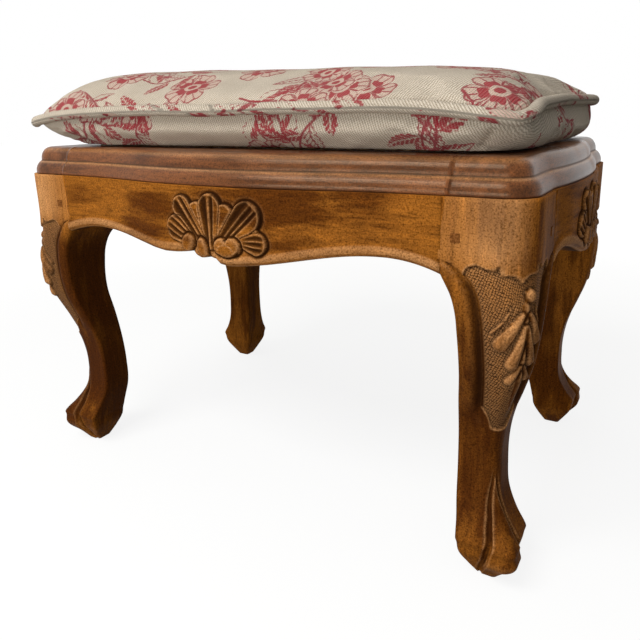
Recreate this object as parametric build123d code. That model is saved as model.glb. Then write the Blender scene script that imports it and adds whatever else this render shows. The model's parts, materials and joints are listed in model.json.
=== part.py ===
from build123d import *
import math
import os

# A carved footstool with a caned seat and a loose piped cushion, in millimetres.
# X runs along the front, Y to the back and Z up. The origin is on the floor under the middle of the seat.

# Plan of the frame
LEG_FACE_X = 222.0
LEG_FACE_Y = 150.0
CORNER_RADIUS = 23.0
LEG_BLOCK = 55.0
FRONT_BOW = 17.0
FRONT_REVERSE_RADIUS = 400.0
SIDE_BOW = 8.0
SIDE_REVERSE_RADIUS = 60.0

# Heights
FRAME_HEIGHT = 260.0
LEG_BLOCK_HEIGHT = 48.0
SEAT_RAIL_HEIGHT = 23.0

# Cabriole leg: height of each station, inset of its outer faces, inset of its inner faces, arris radius
BASE_STATION = (0.0, 17.0, 43.0, 5.0)
TOE_STATION = (23.0, 5.0, 46.5, 4.0)
SHANK_STATIONS = (
    (34.0, 12.5, 48.0, 6.0),
    (52.0, 19.7, 50.0, 8.0),
    (76.0, 22.4, 50.5, 9.0),
    (102.0, 20.3, 49.3, 9.0),
    (126.0, 13.5, 47.0, 10.0),
    (150.0, 5.5, 44.0, 11.0),
    (176.0, 1.2, 44.3, 14.0),
    (198.0, -0.4, 47.2, 19.0),
)
LEG_LEVELS = 13
ARRIS_CHORDS = 4
INNER_CHAMFER = 2.5

# Aprons
APRON_THICKNESS = 24.0
ARCH_RISE = 7.0
CENTRE_DROP = 8.0
ARCH_SHARE = 0.76
EDGE_CHORDS = 8
LIP_WIDTH = 9.0
LIP_PROUD = 1.6

# Carved shell on each apron: fluted lobes round a point above the lower edge, two scrolls and two buds
SHELL_BASE = 12.0
LOBE_ANGLES = (-36.0, 0.0, 36.0)
LOBE_LENGTHS = (40.0, 42.0, 40.0)
LOBE_RELIEFS = (5.0, 6.5, 5.0)
LOBE_TIP_RADIUS = 10.0
LOBE_BASE_HALF = 4.0
TIP_CHORDS = 6
FLUTE_SPACING = 7.0
FLUTE_DEPTH = 2.5
FLUTE_WIDTH = 4.0
SCROLL_PLACE = (35.0, 5.0)
SCROLL_RADIUS = 12.0
SCROLL_RELIEF = 4.0
BUD_PLACE = (11.0, -2.0)
BUD_RADIUS = 9.0
BUD_RELIEF = 6.0
BOSS_SIDES = 10
RELIEF_ROOT = 8.0

# Joints of the wooden frame
TENON_LENGTH = 26.0
TENON_THICKNESS = 8.0
TENON_HEIGHT = 30.0
TENON_SETBACK = 9.0
TENON_TOP_SHOULDER = 9.0
JOINT_CLEARANCE = 0.1
BLIND_END_CLEARANCE = 0.6
PEG_SIDE = 5.6
PEG_INSET = 9.0
PEG_PROUD = 0.5
PEG_LENGTH = 24.0
DOWEL_DIAMETER = 8.0
DOWEL_LENGTH = 26.0
DOWEL_IN_RAIL = 12.0
DOWEL_CORNER_INSET = 23.0

# Moulded seat frame
RAIL_LEDGE = 2.5
RAIL_LOWER_BAND = 11.5
RAIL_LOWER_BEVEL = 3.0
RAIL_STEP = 5.0
RAIL_UPPER_BEVEL = 4.5
RAIL_JOINT_X = 170.0
RAIL_WIDTH_FRONT = 46.0
RAIL_WIDTH_SIDE = 58.0
RAIL_TENON_LENGTH = 18.0
RAIL_TENON_THICKNESS = 8.0
RAIL_TENON_WIDTH = 28.0

# Caned seat
CANE_OVERLAP = 12.0
CANE_THICKNESS = 1.4
CANE_GAPS_X = 11
CANE_GAPS_Y = 7
CANE_STRAND = 6.0
BINDER_WIDTH = 6.0
BINDER_THICKNESS = 1.2
BINDER_INSET = 3.0
TIE_PITCH = 21.0
TIE_WIDTH = 2.4
TIE_THICKNESS = 0.6
TIE_OVERHANG = 1.2

# Loose cushion
CUSHION_HALF_X = 208.0
CUSHION_HALF_Y = 139.0
CUSHION_CORNER_RADIUS = 16.0
CUSHION_DRAW_IN = 5.0
CUSHION_SIDE_LEAN = 3.0
SEAM_HEIGHT = 25.5
CUSHION_CROWN = 40.0
COVER_THICKNESS = 1.2
PIPING_RADIUS = 4.0
PIPING_CORD_RADIUS = 2.4
CORNER_CHORDS = 5
SIDE_CHORDS = 3
PIPING_SIDES = 8
CORD_SIDES = 6
SOFT_CLEARANCE = 0.3
CROWN_STATIONS = ((0.0, 0.0), (0.05, 0.36), (0.14, 0.62), (0.28, 0.82), (0.46, 0.94), (0.7, 1.0))
BELLY_STATIONS = ((0.0, 0.0), (0.07, 0.42), (0.18, 0.78), (0.32, 1.0))

# Heights and lengths that follow from the sizes above
leg_block_base = FRAME_HEIGHT - LEG_BLOCK_HEIGHT
seat_top = FRAME_HEIGHT + SEAT_RAIL_HEIGHT
cane_top = seat_top + CANE_THICKNESS
cushion_base = cane_top + SOFT_CLEARANCE
seam_z = cushion_base + SEAM_HEIGHT
front_half = LEG_FACE_X - LEG_BLOCK
side_half = LEG_FACE_Y - LEG_BLOCK
tenon_z = FRAME_HEIGHT - TENON_TOP_SHOULDER - TENON_HEIGHT / 2
opening_x = LEG_FACE_X - RAIL_WIDTH_SIDE
opening_y = LEG_FACE_Y - RAIL_WIDTH_FRONT
reach = LEG_FACE_X + LEG_FACE_Y + FRONT_BOW + SIDE_BOW


def box(low, high):
    """A box between two corners."""
    size = [b - a for a, b in zip(low, high)]
    middle = [(a + b) / 2 for a, b in zip(low, high)]
    return Pos(*middle) * Box(*size)


def unit(x, y):
    length = math.hypot(x, y)
    return x / length, y / length


def side_points(half, face, other_face, bow, reverse, offset):
    """Points of one side of the plan: along the side, then outward, from corner to corner."""
    radii = (half**2 + bow**2) / (2 * bow)
    bow_radius = radii - reverse
    bow_centre = face + bow - bow_radius
    lean = unit(half, face + reverse - bow_centre)
    turn = (lean[0] * (bow_radius + offset), bow_centre + lean[1] * (bow_radius + offset))
    middle = unit(-lean[0], -lean[1] - 1.0)
    reverse_radius = reverse - offset
    bend = (half + middle[0] * reverse_radius, face + reverse + middle[1] * reverse_radius)
    corner = other_face - CORNER_RADIUS
    right = [turn, bend, (half, face + offset), (corner, face + offset)]
    left = [(-u, v) for u, v in reversed(right)]
    return left + [(0.0, face + bow + offset)] + right


def plan_face(offset):
    """The serpentine outline of the frame, set out by an offset, as a face at height zero."""
    front = side_points(front_half, LEG_FACE_Y, LEG_FACE_X, FRONT_BOW, FRONT_REVERSE_RADIUS, offset)
    flank = side_points(side_half, LEG_FACE_X, LEG_FACE_Y, SIDE_BOW, SIDE_REVERSE_RADIUS, offset)
    sides = [
        [(u, -v) for u, v in front],
        [(v, u) for u, v in flank],
        [(-u, v) for u, v in front],
        [(-v, -u) for u, v in flank],
    ]
    arris = (CORNER_RADIUS + offset) / math.sqrt(2)
    signs = ((1, -1), (1, 1), (-1, 1), (-1, -1))
    edges = []
    for number, points in enumerate(sides):
        start, joint, bend, turn, crest, turn_2, bend_2, joint_2, end = points
        sign_x, sign_y = signs[number]
        rounding = (
            sign_x * (LEG_FACE_X - CORNER_RADIUS + arris),
            sign_y * (LEG_FACE_Y - CORNER_RADIUS + arris),
        )
        edges.append(Line(start, joint))
        edges.append(ThreePointArc(joint, bend, turn))
        edges.append(ThreePointArc(turn, crest, turn_2))
        edges.append(ThreePointArc(turn_2, bend_2, joint_2))
        edges.append(Line(joint_2, end))
        edges.append(ThreePointArc(end, rounding, sides[(number + 1) % len(sides)][0]))
    return make_face(edges)


def plan_prism(offset, low, high):
    """The outline drawn up between two heights."""
    return Pos(0, 0, low) * extrude(plan_face(offset), high - low)


def mirrored(part, sign_x, sign_y):
    """A piece of the rear right quarter, moved to the quarter that the signs name."""
    if sign_x < 0:
        part = mirror(part, about=Plane.YZ)
    if sign_y < 0:
        part = mirror(part, about=Plane.XZ)
    return part


def faceted(sections):
    """A solid of flat facets through level sections whose sides are parallel in turn."""
    faces = [Face(Wire.make_polygon(sections[0])), Face(Wire.make_polygon(sections[-1]))]
    for low, high in zip(sections, sections[1:]):
        for number in range(len(low)):
            corners = [low[number - 1], low[number], high[number], high[number - 1]]
            faces.append(Face(Wire.make_polygon(corners)))
    return Solid(Shell(faces))


def station_at(stations, height):
    """The leg's insets and arris radius at a height, on a smooth curve through its stations."""
    index = max(n for n in range(len(stations) - 1) if stations[n][0] <= height)
    low, high = stations[index], stations[index + 1]
    before = stations[max(index - 1, 0)]
    after = stations[min(index + 2, len(stations) - 1)]
    span = high[0] - low[0]
    share = (height - low[0]) / span
    values = []
    for column in range(1, len(low)):
        slope_low = (high[column] - before[column]) / (high[0] - before[0]) * span
        slope_high = (after[column] - low[column]) / (after[0] - low[0]) * span
        rise = high[column] - low[column]
        curve = slope_low * (1 - share) ** 2 * share + rise * share**2 * (3 - 2 * share)
        values.append(low[column] + curve - slope_high * (1 - share) * share**2)
    return (height, *values)


def leg_section(station):
    """One level section of the leg: a square with a round outer arris and three small chamfers."""
    height, outer, inner, arris = station
    low_x, high_x = LEG_FACE_X - inner, LEG_FACE_X - outer
    low_y, high_y = LEG_FACE_Y - inner, LEG_FACE_Y - outer
    cut = INNER_CHAMFER
    points = []
    for chord in range(ARRIS_CHORDS + 1):
        angle = math.pi / 2 * chord / ARRIS_CHORDS
        points.append((high_x - arris * (1 - math.cos(angle)), high_y - arris * (1 - math.sin(angle))))
    points += [
        (low_x + cut, high_y),
        (low_x, high_y - cut),
        (low_x, low_y + cut),
        (low_x + cut, low_y),
        (high_x - cut, low_y),
        (high_x, low_y + cut),
    ]
    return [(x, y, height) for x, y in points]


def tenon(along_x):
    """The tenon that enters the rear right leg, from the rear apron or from the right one."""
    back = LEG_FACE_Y - TENON_SETBACK
    low = (front_half, back - TENON_THICKNESS, tenon_z - TENON_HEIGHT / 2)
    high = (front_half + TENON_LENGTH, back, tenon_z + TENON_HEIGHT / 2)
    if not along_x:
        side = LEG_FACE_X - TENON_SETBACK
        low = (side - TENON_THICKNESS, side_half, low[2])
        high = (side, side_half + TENON_LENGTH, high[2])
    return low, high


def mortise(along_x):
    """The slot in the leg that takes a tenon, with its clearances."""
    low, high = tenon(along_x)
    slack = [JOINT_CLEARANCE] * 3
    slack_end = [JOINT_CLEARANCE] * 3
    slack_end[0 if along_x else 1] = BLIND_END_CLEARANCE
    return box([a - s for a, s in zip(low, slack)], [b + s for b, s in zip(high, slack_end)])


def peg(along_x, clearance):
    """A square peg through the leg's face and the tenon behind it."""
    half = PEG_SIDE / 2 + clearance
    if along_x:
        face, at = LEG_FACE_Y, front_half + PEG_INSET
        low = (at - half, face + PEG_PROUD - PEG_LENGTH - clearance, tenon_z - half)
        high = (at + half, face + PEG_PROUD, tenon_z + half)
    else:
        face, at = LEG_FACE_X, side_half + PEG_INSET
        low = (face + PEG_PROUD - PEG_LENGTH - clearance, at - half, tenon_z - half)
        high = (face + PEG_PROUD, at + half, tenon_z + half)
    return box(low, high)


def dowel(clearance):
    """The dowel that holds the seat frame on the rear right leg."""
    length = DOWEL_LENGTH + 2 * clearance
    middle = FRAME_HEIGHT + DOWEL_IN_RAIL - DOWEL_LENGTH / 2
    place = Pos(LEG_FACE_X - DOWEL_CORNER_INSET, LEG_FACE_Y - DOWEL_CORNER_INSET, middle)
    return place * Cylinder(DOWEL_DIAMETER / 2 + clearance, length)


def make_leg():
    """The rear right leg: joint block, knee, ankle and flared foot."""
    stations = (TOE_STATION, *SHANK_STATIONS, (leg_block_base, 0.0, LEG_BLOCK, CORNER_RADIUS))
    step = (leg_block_base - TOE_STATION[0]) / LEG_LEVELS
    heights = [TOE_STATION[0] + step * number for number in range(LEG_LEVELS)] + [leg_block_base]
    shank = faceted([leg_section(station_at(stations, height)) for height in heights])
    foot = faceted([leg_section(BASE_STATION), leg_section(TOE_STATION)])
    quarter = box((front_half, side_half, leg_block_base), (reach, reach, FRAME_HEIGHT))
    block = plan_prism(0.0, leg_block_base, FRAME_HEIGHT) & quarter
    leg = foot + shank + block
    for along_x in (True, False):
        leg -= mortise(along_x)
        leg -= peg(along_x, JOINT_CLEARANCE)
    return leg - dowel(JOINT_CLEARANCE)


def edge_height(along, half):
    """Height of an apron's lower edge: low in the middle, an arch to each side, then down to the leg."""
    arch = leg_block_base + ARCH_RISE
    turn = half * ARCH_SHARE
    if along > turn:
        return arch - ARCH_RISE * ((along - turn) / (half - turn)) ** 2
    return arch - (ARCH_RISE + CENTRE_DROP) * (1 + math.cos(math.pi * along / turn)) / 2


def elevation(half, raised):
    """The apron's outline seen from the front, with its lower edge raised by an amount."""
    points = [(-half, FRAME_HEIGHT)]
    for number in range(-EDGE_CHORDS, EDGE_CHORDS + 1):
        along = half * number / EDGE_CHORDS
        points.append((along, edge_height(abs(along), half) + raised))
    points.append((half, FRAME_HEIGHT))
    return make_face(Polyline(*points, close=True))


def lobe(length, relief):
    """One lobe of the shell: a tongue on its narrow end, with two flutes cut along it."""
    rise = length - LOBE_TIP_RADIUS
    points = [(-LOBE_BASE_HALF, 0.0), (LOBE_BASE_HALF, 0.0)]
    for chord in range(TIP_CHORDS + 1):
        angle = math.pi * chord / TIP_CHORDS
        points.append((LOBE_TIP_RADIUS * math.cos(angle), rise + LOBE_TIP_RADIUS * math.sin(angle)))
    tongue = make_face(Polyline(*points, close=True))
    body = Pos(0, 0, -RELIEF_ROOT) * extrude(tongue, RELIEF_ROOT + relief)
    for side in (-1, 1):
        ridge = [(-FLUTE_WIDTH / 2, relief), (FLUTE_WIDTH / 2, relief), (0.0, relief - FLUTE_DEPTH)]
        groove = extrude(Plane.XZ * make_face(Polyline(*ridge, close=True)), -rise)
        lean = math.degrees(math.atan2(side * (FLUTE_SPACING - LOBE_BASE_HALF) / 2, rise))
        body -= Pos(side * LOBE_BASE_HALF / 2, 0, 0) * Rot(0, 0, -lean) * groove
    return body


def boss(place, radius, relief):
    """A low round boss of the shell: a scroll or a bud."""
    return Pos(*place, -RELIEF_ROOT) * extrude(RegularPolygon(radius, BOSS_SIDES), RELIEF_ROOT + relief)


def shell_relief():
    """The carved shell on a plane at zero, about the point where its lobes meet."""
    shell = []
    for angle, length, relief in zip(LOBE_ANGLES, LOBE_LENGTHS, LOBE_RELIEFS):
        shell.append(Rot(0, 0, -angle) * lobe(length, relief))
    for side in (-1, 1):
        shell.append(boss((side * SCROLL_PLACE[0], SCROLL_PLACE[1]), SCROLL_RADIUS, SCROLL_RELIEF))
        shell.append(boss((side * BUD_PLACE[0], BUD_PLACE[1]), BUD_RADIUS, BUD_RELIEF))
    whole = shell[0]
    for piece in shell[1:]:
        whole += piece
    return whole


def make_apron(along_x):
    """The rear or right apron, with its lip, its shell and its two tenons."""
    half, face, bow = (front_half, LEG_FACE_Y, FRONT_BOW) if along_x else (side_half, LEG_FACE_X, SIDE_BOW)
    turn = Plane((0, 0, 0), x_dir=(1, 0, 0), z_dir=(0, -1, 0))
    if not along_x:
        turn = Plane((0, 0, 0), x_dir=(0, -1, 0), z_dir=(-1, 0, 0))
    board = extrude(turn * elevation(half, 0.0), -reach)
    upper = extrude(turn * elevation(half, LIP_WIDTH), -reach)
    back = face - APRON_THICKNESS
    if along_x:
        zone = box((-half, back, 0), (half, reach, FRAME_HEIGHT))
    else:
        zone = box((back, -half, 0), (reach, half, FRAME_HEIGHT))
    low = leg_block_base - CENTRE_DROP - LIP_WIDTH
    field = plan_prism(0.0, low, FRAME_HEIGHT) & zone & board
    lip = (plan_prism(LIP_PROUD, low, FRAME_HEIGHT) & zone & board) - upper
    apron = field + lip
    base = leg_block_base - CENTRE_DROP + SHELL_BASE
    outward = Plane((0, face + bow, base), x_dir=(-1, 0, 0), z_dir=(0, 1, 0))
    if not along_x:
        outward = Plane((face + bow, 0, base), x_dir=(0, 1, 0), z_dir=(1, 0, 0))
    apron += outward * shell_relief()
    low, high = tenon(along_x)
    for sign in (1, -1):
        tongue = box(low, high) - peg(along_x, JOINT_CLEARANCE)
        if sign < 0:
            tongue = mirror(tongue, about=Plane.YZ if along_x else Plane.XZ)
        apron += tongue
    return apron


def make_seat_frame():
    """The moulded seat frame in one piece, before it is cut into its four members."""
    middle = FRAME_HEIGHT + RAIL_LOWER_BAND
    lower = plan_prism(-RAIL_LEDGE, FRAME_HEIGHT, middle)
    lower = chamfer(lower.faces().sort_by(Axis.Z)[-1].edges(), RAIL_LOWER_BEVEL)
    upper = plan_prism(-RAIL_LEDGE - RAIL_STEP, middle, seat_top)
    upper = chamfer(upper.faces().sort_by(Axis.Z)[-1].edges(), RAIL_UPPER_BEVEL)
    opening = box((-opening_x, -opening_y, 0), (opening_x, opening_y, seat_top + FRAME_HEIGHT))
    return lower + upper - opening


def rail_tenon(clearance, end_clearance):
    """The tenon of the rear seat rail in the right one."""
    middle_z = FRAME_HEIGHT + SEAT_RAIL_HEIGHT / 2
    middle_y = opening_y + RAIL_WIDTH_FRONT / 2
    half_z = RAIL_TENON_THICKNESS / 2 + clearance
    half_y = RAIL_TENON_WIDTH / 2 + clearance
    low = (RAIL_JOINT_X, middle_y - half_y, middle_z - half_z)
    high = (RAIL_JOINT_X + RAIL_TENON_LENGTH + end_clearance, middle_y + half_y, middle_z + half_z)
    return box(low, high)


def make_seat_rails():
    """The rear and right members of the seat frame."""
    whole = make_seat_frame()
    rear = whole & box((-RAIL_JOINT_X, opening_y, 0), (RAIL_JOINT_X, reach, seat_top))
    right = whole & box((RAIL_JOINT_X, -reach, 0), (reach, reach, seat_top))
    right += whole & box((opening_x, -opening_y, 0), (RAIL_JOINT_X, opening_y, seat_top))
    for sign in (1, -1):
        tongue = rail_tenon(0.0, 0.0)
        slot = rail_tenon(JOINT_CLEARANCE, BLIND_END_CLEARANCE)
        rear += tongue if sign > 0 else mirror(tongue, about=Plane.YZ)
        right -= slot if sign > 0 else mirror(slot, about=Plane.XZ)
        hole = dowel(JOINT_CLEARANCE)
        right -= hole if sign > 0 else mirror(hole, about=Plane.XZ)
    return rear, right


def make_cane_seat():
    """The caned panel as a flat net over the opening."""
    width, depth = 2 * (opening_x + CANE_OVERLAP), 2 * (opening_y + CANE_OVERLAP)
    pitch_x, pitch_y = 2 * opening_x / CANE_GAPS_X, 2 * opening_y / CANE_GAPS_Y
    gap = Rectangle(pitch_x - CANE_STRAND, pitch_y - CANE_STRAND)
    holes = [place * gap for place in GridLocations(pitch_x, pitch_y, CANE_GAPS_X, CANE_GAPS_Y)]
    net = Rectangle(width, depth) - holes
    return Pos(0, 0, seat_top) * extrude(net, CANE_THICKNESS)


def binder_middle():
    """Half sizes of the line of holes that the binder covers."""
    inset = CANE_OVERLAP - BINDER_INSET - BINDER_WIDTH / 2
    return opening_x + inset, opening_y + inset


def make_cane_binder():
    """The flat binder round the edge of the cane."""
    half_x, half_y = binder_middle()
    outer = Rectangle(2 * half_x + BINDER_WIDTH, 2 * half_y + BINDER_WIDTH)
    inner = Rectangle(2 * half_x - BINDER_WIDTH, 2 * half_y - BINDER_WIDTH)
    return Pos(0, 0, cane_top) * extrude(outer - inner, BINDER_THICKNESS)


def make_tie(x, y, along_x):
    """One couching loop over the binder, down to the cane on both sides."""
    span = BINDER_WIDTH + 2 * TIE_OVERHANG
    whole = (TIE_WIDTH, span) if along_x else (span, TIE_WIDTH)
    under = (TIE_WIDTH, BINDER_WIDTH) if along_x else (BINDER_WIDTH, TIE_WIDTH)
    height = BINDER_THICKNESS + TIE_THICKNESS
    strap = extrude(Rectangle(*whole), height) - extrude(Rectangle(*under), BINDER_THICKNESS)
    return Pos(x, y, cane_top) * strap


def make_binder_ties():
    """All the couching loops."""
    half_x, half_y = binder_middle()
    ties = []
    for half, other, along_x in ((half_x, half_y, True), (half_y, half_x, False)):
        count = int((2 * half - 2 * TIE_PITCH) / TIE_PITCH)
        for number in range(count + 1):
            at = (number - count / 2) * TIE_PITCH
            for sign in (1, -1):
                place = (at, sign * other) if along_x else (sign * other, at)
                ties.append(make_tie(*place, along_x))
    return ties


def cushion_outline(inset, corner_radius, height):
    """Points round the cushion: sides drawn in between rounded corners, each chord at its own fixed angle."""
    lean = math.radians(CUSHION_SIDE_LEAN)
    turn = math.pi / 2 + 2 * lean
    shares = [(number + 0.5) / SIDE_CHORDS for number in range(SIDE_CHORDS)]
    long_side = [-lean * share for share in shares]
    short_side = [math.pi / 2 + lean * (1 - share) for share in shares]
    corner = [turn * (number + 0.5) / CORNER_CHORDS - lean for number in range(CORNER_CHORDS)]
    chord = 2 * corner_radius * math.sin(turn / CORNER_CHORDS / 2)
    across = CUSHION_HALF_X - inset - CUSHION_DRAW_IN
    deep = CUSHION_HALF_Y - inset - CUSHION_DRAW_IN
    along_x, along_y = (sum(map(way, long_side)) for way in (math.cos, math.sin))
    back_x, back_y = (sum(map(way, short_side)) for way in (math.cos, math.sin))
    rest_x = across - chord * sum(map(math.cos, corner))
    rest_y = deep - chord * sum(map(math.sin, corner))
    scale = along_x * back_y - along_y * back_x
    long_chord = (rest_x * back_y - rest_y * back_x) / scale
    short_chord = (along_x * rest_y - along_y * rest_x) / scale
    quarter = [(0.0, -deep)]
    for angles, length in ((long_side, long_chord), (corner, chord), (short_side, short_chord)):
        for angle in angles:
            x, y = quarter[-1]
            quarter.append((x + length * math.cos(angle), y + length * math.sin(angle)))
    half = quarter + [(x, -y) for x, y in reversed(quarter[:-1])]
    outline = half + [(-x, y) for x, y in reversed(half[1:-1])]
    return [(x, y, height) for x, y in outline]


def seam_ring(radius, sides):
    """A cord of flat-sided section that follows the seam."""
    turn = 2 * math.pi / sides
    angles = [(number + 0.5) * turn - math.pi / 2 for number in range(sides // 2)]
    halves = []
    for way in (-1, 1):
        sections = []
        for angle in angles:
            inset = way * radius * math.cos(angle)
            height = seam_z + radius * math.sin(angle)
            sections.append(cushion_outline(inset, CUSHION_CORNER_RADIUS - inset, height))
        halves.append(faceted(sections))
    return halves[0] - halves[1]


def cushion_half(stations, depth, inset):
    """Half of the cushion, from its seam up or down, inside its cover by an inset."""
    reach_in = CUSHION_HALF_Y - PIPING_RADIUS
    edge = PIPING_RADIUS + SOFT_CLEARANCE + inset
    corner = CUSHION_CORNER_RADIUS - edge
    tall = depth - math.copysign(inset, depth)
    sections = []
    for run, rise in stations:
        sections.append(cushion_outline(edge + run * reach_in, corner, seam_z + rise * tall))
    return faceted(sections)


def make_cushion():
    """Covers, piping, piping cord and filling."""
    halves = []
    for inset in (0.0, COVER_THICKNESS, COVER_THICKNESS + SOFT_CLEARANCE):
        crown = cushion_half(CROWN_STATIONS, CUSHION_CROWN, inset)
        belly = cushion_half(BELLY_STATIONS, -SEAM_HEIGHT, inset)
        halves.append((crown, belly))
    top, bottom = (outside - inside for outside, inside in zip(halves[0], halves[1]))
    insert = halves[2][0] + halves[2][1]
    bore = seam_ring(PIPING_CORD_RADIUS + JOINT_CLEARANCE, CORD_SIDES)
    piping = seam_ring(PIPING_RADIUS, PIPING_SIDES) - bore
    cord = seam_ring(PIPING_CORD_RADIUS, CORD_SIDES)
    return {
        "cushion_top_cover": top,
        "cushion_bottom_cover": bottom,
        "cushion_insert": insert,
        "cushion_piping": piping,
        "cushion_piping_cord": cord,
    }


def make_parts():
    """Every piece of the stool by name."""
    parts = {}
    leg = make_leg()
    rails = make_seat_rails()
    names_y = {1: "rear", -1: "front"}
    names_x = {1: "right", -1: "left"}
    pegs, dowels = [], []
    for sign_y, name_y in names_y.items():
        parts["apron_" + name_y] = mirrored(make_apron(True), 1, sign_y)
        parts["seat_rail_" + name_y] = mirrored(rails[0], 1, sign_y)
        for sign_x, name_x in names_x.items():
            parts["leg_" + name_y + "_" + name_x] = mirrored(leg, sign_x, sign_y)
            pegs += [mirrored(peg(along_x, 0.0), sign_x, sign_y) for along_x in (True, False)]
            dowels.append(mirrored(dowel(0.0), sign_x, sign_y))
    for sign_x, name_x in names_x.items():
        parts["apron_" + name_x] = mirrored(make_apron(False), sign_x, 1)
        parts["seat_rail_" + name_x] = mirrored(rails[1], sign_x, 1)
    parts["tenon_pegs"] = Compound(children=pegs)
    parts["seat_frame_dowels"] = Compound(children=dowels)
    parts["cane_seat"] = make_cane_seat()
    parts["cane_binder"] = make_cane_binder()
    parts["cane_binder_ties"] = Compound(children=make_binder_ties())
    parts.update(make_cushion())
    return parts


os.makedirs("parts", exist_ok=True)
for name, part in make_parts().items():
    export_step(part, "parts/" + name + ".step")
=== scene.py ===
import json
import math
import random

import bpy
import numpy as np
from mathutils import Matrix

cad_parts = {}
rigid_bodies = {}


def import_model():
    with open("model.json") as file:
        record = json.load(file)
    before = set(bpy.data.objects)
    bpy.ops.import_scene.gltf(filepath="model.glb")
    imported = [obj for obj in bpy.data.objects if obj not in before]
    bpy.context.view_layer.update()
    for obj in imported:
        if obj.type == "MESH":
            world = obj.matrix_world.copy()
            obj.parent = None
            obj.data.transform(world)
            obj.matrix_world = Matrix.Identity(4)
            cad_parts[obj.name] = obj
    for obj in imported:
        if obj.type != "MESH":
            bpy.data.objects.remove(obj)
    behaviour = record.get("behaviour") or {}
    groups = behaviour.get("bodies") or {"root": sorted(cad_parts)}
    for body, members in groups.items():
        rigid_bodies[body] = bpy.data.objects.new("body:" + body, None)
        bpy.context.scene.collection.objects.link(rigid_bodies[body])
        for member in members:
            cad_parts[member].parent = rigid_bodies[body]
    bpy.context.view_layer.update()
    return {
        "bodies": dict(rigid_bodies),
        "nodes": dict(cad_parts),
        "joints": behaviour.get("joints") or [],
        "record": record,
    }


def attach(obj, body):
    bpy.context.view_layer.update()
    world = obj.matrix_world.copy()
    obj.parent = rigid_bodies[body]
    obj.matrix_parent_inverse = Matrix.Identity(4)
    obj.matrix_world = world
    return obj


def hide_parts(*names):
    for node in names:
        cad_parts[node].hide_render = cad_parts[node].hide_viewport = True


# Sizes are in millimetres, as in the model's source, and become metres when a mesh is made
METRES = 0.001
FAR = 99.0

# Camera, with its turns in degrees
CAMERA_PLACE = (291.9, -500.7, 310.0)
CAMERA_YAW = 30.13
CAMERA_PITCH = -13.14
CAMERA_ROLL = -0.92
CAMERA_LEVEL = 90.0
CAMERA_LENS = 35.3
CAMERA_SENSOR = 36.0
CAMERA_SHIFT = (-0.0099, -0.098)

# Plan of the frame
LEG_FACE_X = 222.0
LEG_FACE_Y = 150.0
CORNER_RADIUS = 23.0
LEG_BLOCK = 55.0
FRONT_BOW = 17.0
FRONT_REVERSE = 400.0
SIDE_BOW = 8.0
SIDE_REVERSE = 60.0
FRAME_HEIGHT = 260.0
BLOCK_BASE = 212.0
FRONT_HALF = LEG_FACE_X - LEG_BLOCK
SIDE_HALF = LEG_FACE_Y - LEG_BLOCK

# Leg: height, inset of the outer faces, inset of the inner faces, arris radius
LEG_STATIONS = (
    (0.0, 20.5, 34.5, 3.0), (9.0, 15.0, 39.6, 3.0), (20.0, 9.0, 44.4, 3.0), (27.5, 7.6, 45.4, 3.0),
    (30.0, 7.0, 46.0, 3.0), (32.0, 8.0, 46.3, 3.2), (39.0, 13.0, 47.6, 5.0), (52.0, 19.7, 50.0, 8.0),
    (76.0, 22.4, 50.5, 9.0), (102.0, 20.3, 49.3, 9.0), (126.0, 13.5, 47.0, 10.0), (150.0, 5.5, 44.0, 11.0),
    (176.0, 1.2, 44.3, 14.0), (190.0, 0.2, 45.8, 17.0), (201.0, -0.2, 49.0, 20.0), (208.0, 0.0, 52.8, 22.0),
    (BLOCK_BASE, 0.0, LEG_BLOCK, CORNER_RADIUS), (FRAME_HEIGHT, 0.0, LEG_BLOCK, CORNER_RADIUS),
)
# Rows of the leg's mesh: from height, to height, count
LEG_ROWS = ((0.0, 95.0, 80), (95.0, 226.0, 170), (226.0, FRAME_HEIGHT, 14))
FACE_COLUMNS = 84
ARRIS_COLUMNS = 26
INNER_COLUMNS = 8
ROUND_COLUMNS = 5
INNER_ROUND = 2.5
# Both front legs were set a little off true
FRONT_LEAN = 3.5
LEAN_HEIGHTS = (180.0, 60.0)

# Knee carving: width of the smooth band along the leg's inner edge, by height
BAND_LINE = (
    (0.0, 12.0), (190.0, 12.2), (199.0, 12.9), (205.0, 13.4), (210.0, 13.2), (215.0, 11.2), (218.5, 7.8),
    (221.0, 3.8), (222.0, 0.0), (260.0, 0.0),
)
BAND_ROUND = 1.3
BAND_POWER = 0.8
BAND_LEAST = 0.5
# Sunk panel: its depth, the slopes at its top, bottom and side, and its scalloped ends as distance from the
# arris and height
PANEL_DEPTH = 1.8
PANEL_SLOPES = (1.0, 1.4, 1.2)
TOP_SCALLOPS = (
    (0.0, 211.0), (2.1, 213.6), (5.1, 215.9), (9.0, 216.4), (12.6, 215.6), (13.4, 222.8), (14.8, 220.7),
    (17.2, 218.5), (21.8, 219.1), (24.6, 220.2), (28.0, 221.1), (31.8, 220.0), (34.2, 218.0), (36.0, 214.0),
    (60.0, 212.0),
)
BOTTOM_SCALLOPS = (
    (0.0, 108.5), (5.0, 109.5), (7.0, 112.0), (9.0, 117.0), (11.5, 121.0), (14.5, 124.2), (18.0, 125.8),
    (40.0, 126.6), (60.0, 127.0),
)
# Valley between band and panel
VALLEY_DEPTH = 2.6
VALLEY_WIDTH = 3.2
VALLEY_SHIFT = 1.0
VALLEY_FOOT = (112.0, 132.0)
VALLEY_HEAD = (218.0, 206.0)
VALLEY_LEFT = 0.35
VALLEY_SHARED = 0.6
VALLEY_BAND = 6.0
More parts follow.
